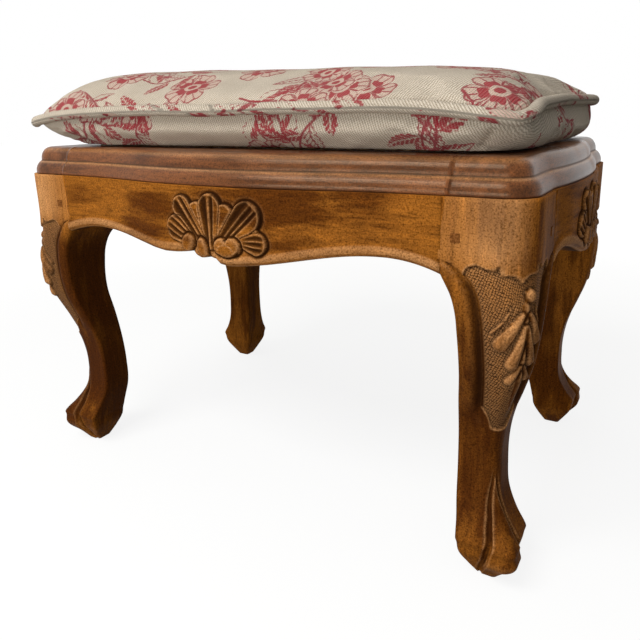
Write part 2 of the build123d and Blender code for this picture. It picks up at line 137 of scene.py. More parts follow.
# Leaf fingers, mirrored on a line beside the arris: root, bend and tip as distance from it and height, then
# half width and relief
LEAF_OFFSET = 3.5
LEAVES = (
    ((3.0, 192.0), (9.0, 184.0), (16.4, 173.6), 4.8, 3.9),
    ((1.2, 184.8), (3.8, 173.5), (8.4, 161.4), 4.3, 3.9),
    ((1.9, 159.0), (4.4, 154.0), (8.2, 149.4), 3.2, 3.0),
    ((10.5, 196.5), (14.6, 187.6), (22.4, 180.4), 1.0, 1.7),
)
FINGER_STEPS = 28
FINGER_ROOT = 0.4
FINGER_SWELL = 0.8
FINGER_FULL = 0.8
FINGER_DOME = 0.4
FINGER_RISE = (0.65, 0.45)
FINGER_PARTING = (0.7, 0.6)
STEM_RELIEF = 1.8
STEM_WIDTH = 2.6
STEM_FOOT = (112.0, 150.0)
STEM_HEAD = (206.0, 198.0)
BEAD_HEIGHT = 203.5
BEAD_OFFSET = 6.5
BEAD_RADIUS = 4.2
BEAD_RELIEF = 3.2
# Cut round leaves and bead: place and width, depth, and the relief it stops at
LEAF_MOAT = (0.5, 1.0)
BEAD_MOAT = (1.15, 0.15)
MOAT_DEPTH = 0.7
MOAT_STOP = 0.4
# Punched ground keeps clear of leaves, bead, stem and band
PUNCH_LEAF = 0.2
PUNCH_BEAD = 1.1
PUNCH_STEM = 0.5
PUNCH_BAND = (1.0, 3.0)
# Painted shade in the carving's valley, round its leaves and bead and under its panel's rim, and wear on it
RIM_REACH = (0.8, 1.0)
VALLEY_DARK = 0.9
MOAT_DARK = 0.95
RIM_DARK = 0.55
LEAF_WEAR = 0.33
WORN_RELIEF = (1.2, 3.2)
# Painted sheen on the front of each leg's block: share, heights, reach round the arris, fading across the
# face and how much, and the painted shade it keeps off
BLOCK_SHEEN = 0.8
SHEEN_HEIGHTS = (205.0, 234.0)
SHEEN_REACH = (-10.0, 10.0)
SHEEN_FADE = (14.0, 46.0)
SHEEN_LOSS = 0.7
SHEEN_SHADE_LIMIT = 0.3
# How dark the leg is made by height: stain, and painted shade on the undercut shank
LEG_STAIN_AND_SHADE = (
    (0.0, 0.55), (25.0, 0.6), (45.0, 0.8), (60.0, 0.97), (120.0, 0.95), (150.0, 0.88), (180.0, 0.70),
    (205.0, 0.4), (228.0, 0.0),
)
REAR_STAIN_AND_SHADE = 0.45
# Grooves beside the tongue of the foot: height, distance from the arris, half width, depth
FOOT_GROOVE = (
    (0.0, 11.0, 2.6, 1.4), (10.0, 14.0, 3.2, 2.2), (20.0, 15.8, 3.4, 2.8), (30.0, 15.4, 3.4, 3.0),
    (38.0, 10.8, 3.2, 2.8), (46.0, 7.0, 2.6, 2.4), (58.0, 3.6, 1.8, 1.6), (68.0, 1.6, 1.3, 0.9),
    (78.0, 0.5, 1.0, 0.0), (260.0, 0.5, 1.0, 0.0),
)
FOOT_WALL = 0.6
# How much the foot's grooves count towards painted shade and wear
FOOT_SHADE_AND_WEAR = 0.4
TONGUE_SHARE = 0.5
TONGUE_EDGE = 1.6
TOE_HEIGHT = 18.0
TOE_REACH = 7.0
TOE_RELIEF = 3.0
# Painted shade in hollows and worn edges, found from the relief: reach in points, depth that counts as full,
# share
FINE_SHADE_AND_WEAR = (2, 0.4)
BROAD_SHADE_AND_WEAR = (6, 1.3)
HOLLOW_SHARE = 0.6
EDGE_SHARE = 0.75

# Apron
APRON_THICKNESS = 24.0
ARCH_RISE = 7.0
CENTRE_DROP = 8.0
ARCH_SHARE = 0.76
EDGE_BASE = BLOCK_BASE - CENTRE_DROP
EDGE_SHIFT = 5.0
APRON_STEP = 2.4
SHELL_REACH = 60.0
SHELL_COLUMNS = 220
LIP_ROWS = 30
FIELD_ROWS = 84
BACK_ROWS = 5
# Lip along the lower edge: height above the edge, how far it stands out
LIP_HEIGHT = 14.0
LIP = (
    (0.0, -4.0), (0.25, -2.2), (0.8, -0.7), (1.7, 0.4), (3.0, 1.15), (4.6, 1.5), (6.2, 1.4), (7.6, 1.0),
    (8.8, 0.45), (9.8, 0.05), (10.8, -0.2), (12.0, -0.22), (13.6, -0.1), (16.0, 0.0), (60.0, 0.0),
)
# Painted highlight along the lip's crest
LIP_HIGHLIGHT = 0.65
LIP_CREST = (0.5, 1.3)
# Lowest part of the face: its height, where it starts, its slope
BROKEN_EDGE = 1.0
BROKEN_START = -1.0
BROKEN_SLOPE = 3.0
# How far the front apron's edge is cut up between the buds, by distance from the shell's middle
EDGE_NOTCHES = (
    (-60.0, 0.0), (-49.0, 0.8), (-36.0, 3.5), (-24.3, 6.6), (-19.3, 8.4), (-15.0, 5.0), (-11.7, 4.0),
    (-4.0, 5.6), (2.0, 4.6), (6.0, 1.1), (12.0, 0.0),
)
# Shell, from its own middle and the lowest edge: base, tip, half width, relief, and its grooves as share of
# the half width, half width and depth
SHELL_SHIFT = 6.0
LOBES = (
    ((-1.0, 12.0), (-0.4, 52.0), 9.8, 2.3, ((-0.46, 3.8, 2.2), (0.26, 1.9, 1.7))),
    ((-5.0, 13.0), (-31.4, 48.0), 8.8, 2.3, ((-0.36, 3.8, 2.2), (0.40, 1.7, 1.7))),
    ((5.0, 13.0), (37.4, 44.4), 11.2, 2.2, ((-0.60, 3.6, 2.2), (-0.10, 2.4, 2.0), (0.28, 1.7, 1.7))),
    ((-16.0, 16.0), (-40.6, 30.6), 10.2, 2.0,
     ((-0.62, 1.8, 1.5), (-0.16, 1.8, 1.6), (0.30, 1.8, 1.6), (0.72, 1.4, 1.3))),
    ((24.0, 19.0), (44.6, 18.4), 8.4, 2.0, ((-0.52, 1.9, 1.5), (0.0, 1.9, 1.6), (0.50, 1.9, 1.5))),
)
WEBS = (
    ((-2.0, 12.0), (-15.4, 45.0), 8.0, 2.2, ()),
    ((2.0, 12.0), (14.6, 44.6), 7.6, 2.2, ()),
    ((-8.0, 14.0), (-33.0, 36.0), 6.0, 2.0, ()),
    ((12.0, 14.0), (38.0, 28.0), 5.0, 2.0, ()),
)
WEB_SHARE = 0.2
LOBE_ROOT = 0.36
LOBE_SWELL = 0.8
LOBE_LOW = 0.66
LOBE_CROWN = 0.4
LOBE_WALL = 0.6
GROOVE_STOP = (1.68, 5.28)
GROOVE_SIDE = 0.45
GROOVE_START = 8.0
GROOVE_ROOT = 0.4
GROOVE_ROUND = 0.8
# Painted shade in the grooves and on the lobes' sides turned from the light, and painted highlight on their
# rims
GROOVE_DARK = 0.4
TURNED_EDGE = (-1.0, -0.3)
TURNED_SIDE = 0.5
TURNED_DARK = 0.9
RIM_HIGHLIGHT = (1.0, 0.7)
RIM_HIGHLIGHT_RUN = (0.3, 0.8)
# Buds and curled ends: middle, half sizes, lean, relief
BOSSES = (
    ((-7.4, 13.2), (4.4, 7.4), 0.35, 4.4),
    ((8.4, 15.0), (6.2, 6.2), -0.2, 4.0),
    ((17.6, 15.4), (6.6, 6.4), 0.2, 4.0),
    ((12.8, 12.6), (7.6, 5.0), 0.0, 4.0),
    ((-21.0, 15.6), (5.7, 6.8), -0.2, 4.6),
)
BOSS_SQUARE = 4
BOSS_DOME = 0.45
# Cut round each bud, with painted shade in it, and a painted highlight on the bud's upper rim
BOSS_MOAT = (1.14, 0.14)
BOSS_CLEAR = 0.75
BOSS_CUT = 0.85
BOSS_HIGHLIGHT = (0.84, 0.10)
# Hollow round the shell: place and width, its depth at the left and right, and where it changes
HOLLOW_PLACE = (0.6, 1.3)
HOLLOW_LEFT = 0.5
HOLLOW_RIGHT = 0.9
HOLLOW_RUN = (-30.0, 20.0)
# Painted shade in the hollow round the shell
HOLLOW_DARK = 0.9
# Painted highlight on the shell's rims, then the stain of shell and apron
SHELL_HIGHLIGHT = 0.6
SHELL_STAIN = 0.12
APRON_STAIN = 0.20
STAINED_RELIEF = (0.2, 1.5)
STAINED_TOP = 50.0

# Seat frame
RAIL_TOP = 283.0
RAIL_JOINT = 170.0
RAIL_INNER_X = 164.0
RAIL_INNER_Y = 104.0
FRONT_COLUMNS = 141
LEAD_COLUMNS = 12
CORNER_COLUMNS = 15
SIDE_COLUMNS = 50
# Moulding: inset from the frame's face, height above the frame
MOULDING = (
    (2.5, 0.0), (2.2, 1.4), (2.2, 3.4), (2.7, 5.6), (3.7, 7.8), (5.2, 9.8), (6.7, 11.0), (7.3, 11.3),
    (7.4, 11.7), (7.4, 12.4), (7.5, 14.2), (8.0, 16.4), (9.0, 18.6), (10.6, 20.6), (12.6, 22.0), (15.0, 22.8),
    (17.5, 23.0),
)
MOULDING_ROWS = 46
LEVEL = 0.999
# Painted shade in the moulding's quirk and at its foot, and wear with a painted highlight on its crests:
# height and width, and a crest's share
SHADED_LINES = ((11.6, 0.5), (0.0, 0.8))
CRESTS = ((10.6, 0.9, 1.0), (21.0, 1.6, 0.6))
CREST_WEAR_AND_HIGHLIGHT = 0.6

# Woven cane: the net's half sizes, hole counts, strand sizes
CANE_HALF_X = 170.0
CANE_HALF_Y = 110.0
HOLES_X = 33
HOLES_Y = 22
HOLE_PITCH = 2 * CANE_HALF_X / (HOLES_X - 1)
CANE_MIDDLE = RAIL_TOP + 0.75
STRAND_SECTION = ((-0.5, 0.0), (0.5, 0.0), (0.46, 0.6), (0.0, 1.0), (-0.46, 0.6))
STRAND_WIDTH = 2.0
STRAND_THICKNESS = 0.42
STRAND_STEP = 2.6
PAIR_OFFSET = 1.25
WEAVE_SWING = 0.2
DIAGONAL_SWING = 1.4 * WEAVE_SWING
DIAGONAL_WIDTH = 1.25 * STRAND_WIDTH
DIAGONAL_LEAST = 3 * HOLE_PITCH
BINDER_WIDTH = 6.0
BINDER_THICKNESS = 0.9
BINDER_STEP = 1.5
BINDER_FOOT = RAIL_TOP + 1.45
BINDER_LIFT = 0.45
BINDER_ARCH = 0.605
BINDER_DIP = 0.35
BINDER_ROUND = 0.7
TIE_PITCH = 21.0
TIE_WIDTH = 2.4
TIE_THICKNESS = 0.5
TIE_STEPS = 13
TIE_OVERHANG = 1.2
TIE_SINK = 0.1
TIE_RISE = 1.75
TIE_SQUARE = 6

# Cushion: half sizes to the middle of its piping, corners, heights
CUSHION_HALF_X = 213.0
CUSHION_HALF_Y = 143.0
CUSHION_CORNER = 26.0
SHARP_CORNER = 12.0
CUSHION_DRAW_IN = 8.5
CUSHION_BASE = RAIL_TOP + 1.7
SEAM_HEIGHT = CUSHION_BASE + 30.0
SEAM_TILT = 2.5
SEAM_INSET = 3.2
CORNER_DROOP = 8.0
REAR_DROOP = CORNER_DROOP / 4
DROOP_POWER = 5
CROWN = 28.0
CROWN_LEAN = 0.18
# Fullness of a panel: powers at the left and right, at the front and rear, and of the whole
TOP_SWELL = ((14.0, 6.0), (2.8, 2.8), 0.45)
LOW_SWELL = ((11.0, 18.0), (8.0, 10.0), 0.55)
LOW_FULL = 1.2
# Overhang of the lower panel, at its left and right and at its front: size, reach, fading to the corners
END_BULGE = (-4.0, 15.0)
BULGE_REACH = 0.03
BULGE_FADE = 4
FRONT_BULGE = 7.0
FRONT_REACH = 0.05
FRONT_FADE = 6
COARSE = (71, 48)
EDGE_DENSITY = 1.32
FINER = 6
# Weights of four points in a row, by powers of the share between the middle two
CURVE_WEIGHTS = ((0.0, -0.5, 1.0, -0.5), (1.0, 0.0, -2.5, 1.5), (0.0, 0.5, 2.0, -1.5), (0.0, 0.0, -0.5, 0.5))
SIM_FRAMES = 20
SIM_REACH = 3.0
TINY = 1e-9
CLOTH = {
    "quality": 5, "mass": 0.25, "tension_stiffness": 12.0, "compression_stiffness": 12.0,
    "shear_stiffness": 6.0, "bending_stiffness": 0.6, "use_pressure": True, "uniform_pressure_force": 1.2,
    "shrink_min": -0.01, "vertex_group_mass": "seam",
}
# Gathers at the seam: length, sway and length of the sway, along the front and along the ends
GATHERS = ((3.1, 1.7, 23.0), (3.3, 1.5, 19.0))
GATHER_REACH = 9.0
GATHER_SHARE = 0.55
SEAM_FLAT = 3.0
# Slow unevenness of the filling: lengths across and along, phase
SLOW_WAVES = ((21.0, 34.0, 0.8), (37.0, -17.0, 2.0), (11.0, 15.0, 0.0))
SLOW_SHARE = 0.22
PUCKER = (1.0, 0.6)
# Piping, with the waves of its thickness and height as size and length
PIPING_RADIUS = 4.3
PIPING_STEPS = 181
PIPING_AROUND = 18
PIPING_SMOOTH = 6
PIPING_THICK = ((0.012, 2.4), (0.015, 13.0))
PIPING_SAG = ((0.5, 41.0), (0.3, 17.0))

# Printed ornament: sprigs on a jittered grid, each a bent stem with leaves and a blossom at its end
SPRIG_PITCH = (88.0, 66.0)
SPRIG_JITTER = (14.0, 10.0)
SPRIG_REACH = 3
SPRIG_LENGTH = (64.0, 92.0)
SPRIG_BEND = 1.5
BEND_RANGE = (0.6, 1.0)
BEND_POWER = 1.5
BEND_START = 0.3
STEM_STEPS = 60
STEM_HALF = 0.9
DRAWN_HALF = 0.5
LEAF_PLACES = (0.16, 0.30, 0.44, 0.58, 0.72)
LEAF_ANGLE = (0.6, 1.1)
LEAF_LENGTH = (20.0, 32.0)
LEAF_HALF_WIDTH = 6.0
LEAF_BOW = 0.18
LEAF_BROAD = 0.8
LEAF_POINT = 0.9
LEAF_RIPPLE = 0.12
LEAF_RIPPLES = 1.3
VEIN_PITCH = 4.2
VEIN_SLANT = 1.2
BLOSSOM_RADIUS = (17.0, 25.0)
BLOSSOM_LEAD = 0.6
BLOSSOM_TURN = 6.0
BLOSSOM_CLEAR = 1.2
BLOSSOM_MARGIN = 1.5
PETALS = 5
PETAL_LOW = 0.62
PETAL_ROUND = 0.6
PETAL_NOTCH = 0.10
NOTCH_POWER = 10
PETAL_BORDER = 0.36
PETAL_OUTLINE = 0.6
PARTING_HALF = 0.7
PARTING_START = 0.3
RAY_COUNT = 1.6 * PETALS
HEART = 0.22
HEART_RING = 1.5
FAR_AWAY = 30.0
PRINT_SEED = 11
LOWER_CUT = (37.0, -31.0)
PIPING_SEED = 5
PIPING_BIAS = 0.4
PIPING_START = (200.0, 60.0)
PIPING_CUT = (200.0, 120.0)

# Walnut colours
GOLDEN = (0.345, 0.120, 0.015, 1.0)
BROWN = (0.112, 0.032, 0.0035, 1.0)
DARK = (0.040, 0.010, 0.002, 1.0)
RAIL_LIGHT = (0.170, 0.056, 0.017, 1.0)
RAIL_BROWN = (0.070, 0.020, 0.005, 1.0)
RAIL_DARK = (0.032, 0.010, 0.005, 1.0)
# Painted shade in hollows, grooves and tool cuts
SHADE_DARK = (0.018, 0.006, 0.002, 1.0)
# Pale colour of wear, of painted highlights and sheen, and of the punched ground
WORN_AND_HIGHLIGHT = (0.58, 0.29, 0.115, 1.0)
WAX_TINT = (1.0, 0.74, 0.50, 1.0)
SPECK_DARK = (0.52, 0.47, 0.40, 1.0)
SPECK_LIGHT = (1.34, 1.32, 1.28, 1.0)
PEG_LIGHT = (0.24, 0.088, 0.022, 1.0)
PEG_DARK = (0.115, 0.038, 0.008, 1.0)
# Walnut finishes: light, middle and dark colour, roughness, shine
CARVED_SHINE = 0.03
CARVED = (GOLDEN, BROWN, DARK, 0.50, CARVED_SHINE)
MOULDED = (RAIL_LIGHT, RAIL_BROWN, RAIL_DARK, 0.21, 0.30)
GRAIN_WAYS = ("wide", "deep", "upright")
# Noises: scale, detail, roughness
SMOOTH_NOISE = 0.55
GRAIN_STRETCH = 0.09
WANDER = (14.0, 2.0, SMOOTH_NOISE)
BANDS = (70.0, 4.0, 0.6)
STREAKS = (420.0, 3.0, 0.6)
PORES = (1500.0, 2.0, 0.5)
SPECKS = (900.0, 2.0, 0.6)
HATCH_NOISE = (230.0, 3.0, 0.7)
# Ramps, as from low, from high, to low, to high, with the shares and heights that go with them
BLOTCH = (0.45, 0.62)
BLOTCH_BANDS = 0.6
BLOTCH_WANDER = 0.5
STAIN_AND_SHADE_BANDS = (0.3, 0.7, 1.0, 0.75)
STAIN_AND_SHADE_WARMTH = 0.2
WEAR_AND_HIGHLIGHT_WANDER = (0.3, 0.7, 0.45, 0.95)
WEAR_AND_HIGHLIGHT_HIDES = 0.8
STREAK_SHADE = (0.50, 0.74, 0.0, 0.55)
STREAK_GLEAM = (0.46, 0.28)
PORE_SHADE = (0.56, 0.70, 0.0, 0.45)
SPECK_SHADE = (0.49, 0.68)
SPECK_GLEAM = (0.48, 0.30)
# Shares of painted shade in hollows, of the punched ground's pale tone, and of painted shade in its tool cuts
SHADE_SHARE = 0.95
PUNCHED_SHARE = 0.32
HATCH_SHARE = 0.9
# Tool cuts of the sunk ground, in metres
HATCH_PITCH = 0.0018
HATCH_JITTER = 0.0042
HATCH_WAYS = ((0.30, 1.0), (1.0, -0.35))
HATCH_CUT = (0.55, 0.10)
# Roughness and fine relief
ROUGH_WANDER = (0.2, 1.0)
ROUGH_SPAN = 0.3
ROUGH_CAVITY = 0.6
STREAK_HEIGHT = 0.25
PORE_HEIGHT = -0.35
HATCH_HEIGHT = -2.4
# Bumps: strength, distance in metres
WOOD_BUMP = (0.6, 0.0003)
# Pegs and dowels
PEG_FLECK = (900.0, 3.0, SMOOTH_NOISE)
PEG_TONE = (0.35, 0.65)
PEG_ROUGH = (0.3, 0.7, 0.5, 0.7)
PEG_BUMP = (0.5, 0.0003)

# Cloth and cane
LINEN = (0.73, 0.64, 0.52, 1.0)
LINEN_DARK = (0.37, 0.30, 0.215, 1.0)
DEEP_RED = (0.30, 0.012, 0.024, 1.0)
PALE_RED = (0.60, 0.33, 0.27, 1.0)
LINE_RED = (0.27, 0.018, 0.030, 1.0)
CANE_LIGHT = (0.34, 0.205, 0.088, 1.0)
CANE_DARK = (0.145, 0.075, 0.030, 1.0)
CLOTH_FUZZ = (1.1, 2.0, 0.6)
CLOTH_SLOW = (0.05, 3.0, 0.6)
FUZZ_MIDDLE = 0.5
FUZZ_SHIFT = 1.3
FUZZ_WEAVE = 2.6
TWILL_SLANT = -0.32
TWILL_SWAY = 3.0
TWILL_PITCH = 1.9
TWILL_SHARE = 0.62
CROSS_SLANT = 0.5
CROSS_PITCH = 1.5
CROSS_SHARE = 0.38
WEAVE_TONE = (-0.9, 0.8)
SOIL_TONE = (0.3, 0.75, 0.0, 0.22)
PALE_EDGE = (0.35, -0.35)
PALE_TWILL = (-0.5, 0.6, 0.10, 0.60)
LINE_EDGE = (0.5, -0.3, 0.0, 0.92)
DEEP_EDGE = (0.4, -0.4)
DEEP_TWILL = (-0.6, 1.1, 0.0, 0.18)
DEEP_SHARE = 0.93
LINEN_ROUGH = (-1.0, 1.0, 0.92, 0.80)
LINEN_BUMP = (0.8, 0.00035)
LINEN_FINISH = {"Specular IOR Level": 0.1, "Sheen Weight": 0.04, "Sheen Roughness": 0.6}
CANE_PATCH = (38.0, 3.0, SMOOTH_NOISE)
CANE_FIBRE = (900.0, 2.0, SMOOTH_NOISE)
CANE_TONE = (0.35, 0.7)
FIBRE_TONE = (0.5, 0.75, 0.0, 0.4)
CANE_ROUGH = (0.2, 0.8, 0.38, 0.6)
CANE_BUMP = (0.4, 0.0002)

# Studio, in metres: lights as name, place, size and power
WHITE = (1.0, 1.0, 1.0, 1.0)
WORLD_LIGHT = (0.03, 0.52)
WORLD_FADE = (-0.5, 0.9)
BRIGHT_SIDE = (-0.25, -0.66, 0.71)
LIGHTS = (
    ("key", (-0.25, -1.15, 1.5), (1.0, 0.6), 20.0),
    ("low_panel", (0.05, -1.3, 0.18), (1.0, 0.2), 6.5),
)
LIGHT_TARGET = (0.0, 0.0, 0.2)
FLOOR_HALF = 6.0
FLOOR_NEAR = 0.45
FLOOR_FAR = 1.6
FLOOR_GLOW = 0.86
FLOOR_COLOUR = (0.16, 0.16, 0.155, 1.0)
FLOOR_ROUGH = 0.9


def clamp(value):
    """Held between zero and one."""
    return np.clip(value, 0.0, 1.0)


def smooth_step(low, high, value):
    """Zero below low, one above high, a smooth ramp between."""
    share = clamp((value - low) / (high - low))
    return share * share * (3.0 - 2.0 * share)


def bell(value, middle, width):
    """One at the middle, fading away on both sides."""
    return np.exp(-(((value - middle) / width) ** 2))


def rise_from(low, share):
    """From low up to one as a share grows."""
    return low + (1.0 - low) * share


def table_at(table, where, column=1):
    """A column of a small table by straight lines between its rows."""
    rows = np.array(table)
    return np.interp(where, rows[:, 0], rows[:, column])


def turned(x, y, middle, angle):
    """Places along and across a line through a middle point."""
    along = (x - middle[0]) * math.cos(angle) + (y - middle[1]) * math.sin(angle)
    return along, (y - middle[1]) * math.cos(angle) - (x - middle[0]) * math.sin(angle)


def unit(vectors):
    """Rows of vectors at length one."""
    return vectors / np.linalg.norm(vectors, axis=1, keepdims=True)


def hermite(stations, at):
    """Every column of a station table on a smooth curve through its rows, at the heights asked for."""
    table = np.array(stations)
    heights = table[:, 0]
    slopes = np.gradient(table[:, 1:], heights, axis=0)
    index = np.clip(np.searchsorted(heights, at, side="right") - 1, 0, len(heights) - 2)
    span = (heights[index + 1] - heights[index])[:, None]
    share = ((at - heights[index]) / span[:, 0])[:, None]
    low, high = table[index, 1:], table[index + 1, 1:]
    curve = low * (1 + 2 * share) * (1 - share) ** 2 + high * share**2 * (3 - 2 * share)
    curve += slopes[index] * span * share * (1 - share) ** 2
    return curve - slopes[index + 1] * span * share**2 * (1 - share)


def bulge(along, half, bow, reverse):
    """How far the serpentine face stands out from the legs' face, along one side."""
    radius = (half**2 + bow**2) / (2 * bow) - reverse
    turn = half * radius / (radius + reverse)
    along = np.minimum(np.abs(along), half)
    middle = bow - radius + np.sqrt(radius**2 - np.minimum(along, turn) ** 2)
    ends = reverse - np.sqrt(reverse**2 - (half - np.maximum(along, turn)) ** 2)
    return np.where(along < turn, middle, ends)


def blur(values, reach, wrap):
    """Mean over a square of neighbours in a grid. The columns wrap round where the grid is a ring."""
    for axis in (0, 1):
        mode = "wrap" if wrap and axis == 1 else "edge"
        pad = [(0, 0), (0, 0)]
        pad[axis] = (reach + 1, reach)
        total = np.cumsum(np.pad(values, pad, mode=mode), axis=axis)
        size = values.shape[axis]
        upper = np.take(total, range(2 * reach + 1, 2 * reach + 1 + size), axis=axis)
        lower = np.take(total, range(0, size), axis=axis)
        values = (upper - lower) / (2 * reach + 1)
    return values


def add_object(name, data):
    """A new object in the scene."""
    thing = bpy.data.objects.new(name, data)
    bpy.context.scene.collection.objects.link(thing)
    return thing


def new_mesh(name, points, faces, material, body, slot):
    """A smooth mesh piece, from points in millimetres, that rides on a body."""
    mesh = bpy.data.meshes.new(name)
    mesh.from_pydata((np.asarray(points) * METRES).tolist(), [], faces)
    mesh.polygons.foreach_set("use_smooth", [True] * len(mesh.polygons))
    mesh.update()
    piece = add_object(name, mesh)
    mesh.materials.append(material)
    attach(piece, body)
    return piece


def set_values(piece, **values):
    """Numbers for each point of a piece, for its material to read."""
    for name, numbers in values.items():
        layer = piece.data.attributes.new(name, "FLOAT", "POINT")
        layer.data.foreach_set("value", np.asarray(numbers, dtype=np.float32).ravel())


def numbered(rows, columns):
    """Point numbers of a grid."""
    return np.arange(rows * columns).reshape(rows, columns)


def grid_quads(index, flip=False):
    """Quads between the rows and columns of a grid of point numbers."""
    corners = [index[:-1, :-1], index[:-1, 1:], index[1:, 1:], index[1:, :-1]]
    quads = np.stack(corners, axis=-1).reshape(-1, 4)
    return quads[:, ::-1] if flip else quads


def ring_faces(rows, columns, flip):
    """Quads of a tube of rows, and a face at each end."""
    index = numbered(rows, columns)
    quads = grid_quads(np.concatenate([index, index[:, :1]], axis=1), flip)
    ends = [index[0][::-1].tolist(), index[-1].tolist()]
    return quads.tolist() + [end[::-1] if flip else end for end in ends]


def leaf_distance(along, height, leaf):
    """Distance to a leaf finger's edge, less than zero inside, and how far along the finger."""
    root, bend, tip, half_width, _ = leaf
    nearest = np.full(along.shape, FAR)
    share = np.zeros(along.shape)
    for step in np.linspace(0.0, 1.0, FINGER_STEPS):
        line = [
            root[n] * (1 - step) ** 2 + 2 * bend[n] * step * (1 - step) + tip[n] * step**2 for n in (0, 1)
        ]
        width = half_width * rise_from(FINGER_ROOT, step**FINGER_SWELL)
        distance = np.hypot(along - line[0], height - line[1]) - width
        closer = distance < nearest
        nearest = np.where(closer, distance, nearest)
        share = np.where(closer, step, share)
    return nearest, share


def leaf_relief(beside, height):
    """Relief of all leaf fingers and the cut round them."""
    moat = np.zeros(beside.shape)
    leaves = np.zeros(beside.shape)
    for leaf in LEAVES:
        distance, share = leaf_distance(beside, height, leaf)
        half_width, tallest = leaf[-2:]
        full = FINGER_FULL * half_width
        dome = (np.clip(-distance, 0.0, full) / full) ** FINGER_DOME
        rise = tallest * dome * (FINGER_RISE[0] + FINGER_RISE[1] * share)
        moat = np.where(distance < 0, moat, np.maximum(moat, bell(distance, *LEAF_MOAT)))
        leaves = np.maximum(leaves * (1.0 - FINGER_PARTING[0] * bell(distance, 0.0, FINGER_PARTING[1])), rise)
    return leaves, moat


def knee_carving(place, height, inward):
    """Relief of a leg's outer faces, where they are punched, their painted shade and how worn they are."""
    along = np.abs(place)
    beside = np.abs(place + LEAF_OFFSET)
    top = table_at(TOP_SCALLOPS, along)
    bottom = table_at(BOTTOM_SCALLOPS, along)
    band = np.broadcast_to(table_at(BAND_LINE, height), along.shape)
    beyond = inward - band
    sides = zip(PANEL_SLOPES, (top - height, height - bottom, beyond))
    panel = math.prod(smooth_step(0.0, slope, side) for slope, side in sides)
    run = smooth_step(*VALLEY_FOOT, height) * smooth_step(0.0, VALLEY_BAND, band)
    valley = bell(beyond, -VALLEY_SHIFT, VALLEY_WIDTH) * run
    valley *= rise_from(VALLEY_LEFT, smooth_step(*VALLEY_HEAD, height))
    relief = -PANEL_DEPTH * panel - (VALLEY_DEPTH - VALLEY_SHARED * PANEL_DEPTH * panel) * valley
    across = clamp(inward / np.maximum(band, BAND_LEAST))
    relief += BAND_ROUND * run * np.sin(math.pi * across) ** BAND_POWER * (beyond < 0)
    leaves, moat = leaf_relief(beside, height)
    stem = STEM_RELIEF * bell(beside, 0.0, STEM_WIDTH)
    stem = stem * smooth_step(*STEM_FOOT, height) * smooth_step(*STEM_HEAD, height)
    bead = np.hypot(place + BEAD_OFFSET, height - BEAD_HEIGHT) / BEAD_RADIUS
    dome = BEAD_RELIEF * np.sqrt(clamp(1.0 - bead**2))
    moat = np.maximum(moat, bell(bead, *BEAD_MOAT)) * (leaves < MOAT_STOP) * panel
    relief += np.maximum.reduce([leaves, stem, dome]) - MOAT_DEPTH * moat
    punched = panel * (leaves < PUNCH_LEAF) * (bead > PUNCH_BEAD) * (stem < PUNCH_STEM)
    punched *= smooth_step(*PUNCH_BAND, beyond)
    rim = bell(top - height, 0.0, RIM_REACH[0]) * (height < top) + bell(height - bottom, 0.0, RIM_REACH[1])
    # Painted shade in the valley, in the cuts round leaves and bead, and under the panel's rim
    dark = np.maximum.reduce([VALLEY_DARK * valley, MOAT_DARK * moat, RIM_DARK * rim * panel])
    wear_and_highlight = LEAF_WEAR * smooth_step(*WORN_RELIEF, np.maximum(leaves, dome)) * panel
    return relief, punched, dark, wear_and_highlight


def foot_carving(along, height):
    """Relief of the foot: a tongue down the arris, with a toe, between two grooves."""
    centre, half, depth = (table_at(FOOT_GROOVE, height, column) for column in (1, 2, 3))
    across = smooth_step(0.0, FOOT_WALL, 1.0 - np.abs(along - centre) / half)
    tongue = TONGUE_SHARE * depth + TOE_RELIEF * bell(height, TOE_HEIGHT, TOE_REACH)
    return smooth_step(0.0, TONGUE_EDGE, centre - along) * tongue - depth * across


def leg_strips(heights, outer, inner, radius, width):
    """Strips round the rear right leg: place, outward direction, distance from the arris, if carved."""
    share = np.linspace(0.0, 1.0, FACE_COLUMNS)[None, :]
    turn = np.linspace(0.0, math.pi / 2, ARRIS_COLUMNS)[None, 1:-1]
    few = np.linspace(0.0, 1.0, INNER_COLUMNS)[None, :]
    bend = np.linspace(0.0, math.pi / 2, ROUND_COLUMNS)[None, 1:-1]
    sine, cosine = np.sin(bend), np.cos(bend)
    high_x, high_y = LEG_FACE_X - outer, LEG_FACE_Y - outer
    low_x, low_y = LEG_FACE_X - inner, LEG_FACE_Y - inner
    west, east = low_x + INNER_ROUND, high_x - INNER_ROUND
    south, north = low_y + INNER_ROUND, high_y - INNER_ROUND
    quarter = radius * math.pi / 4
    span = inner - outer - 2 * INNER_ROUND
    strips = []

    def strip(x, y, normal_x, normal_y, along=FAR, carved=0.0):
        shape = (len(heights), np.broadcast(x, y).shape[1])
        strips.append([np.broadcast_to(part, shape) for part in (x, y, normal_x, normal_y, along, carved)])

    def rounded(x, y, normal_x, normal_y):
        strip(x + INNER_ROUND * normal_x, y + INNER_ROUND * normal_y, normal_x, normal_y)

    strip(high_x, south + width * share, 1.0, 0.0, -quarter - width * (1 - share), 1.0)
    corner = (high_x - radius * (1 - np.cos(turn)), high_y - radius * (1 - np.sin(turn)))
    strip(*corner, np.cos(turn), np.sin(turn), (turn - math.pi / 4) * radius, 1.0)
    strip(high_x - radius - width * share, high_y, 0.0, 1.0, quarter + width * share, 1.0)
    rounded(west, north, -sine, cosine)
    strip(low_x, north - span * few, -1.0, 0.0)
    rounded(west, south, -cosine, -sine)
    strip(west + span * few, low_y, 0.0, -1.0)
    rounded(east, south, sine, -cosine)
    return (np.concatenate(parts, axis=1) for parts in zip(*strips))


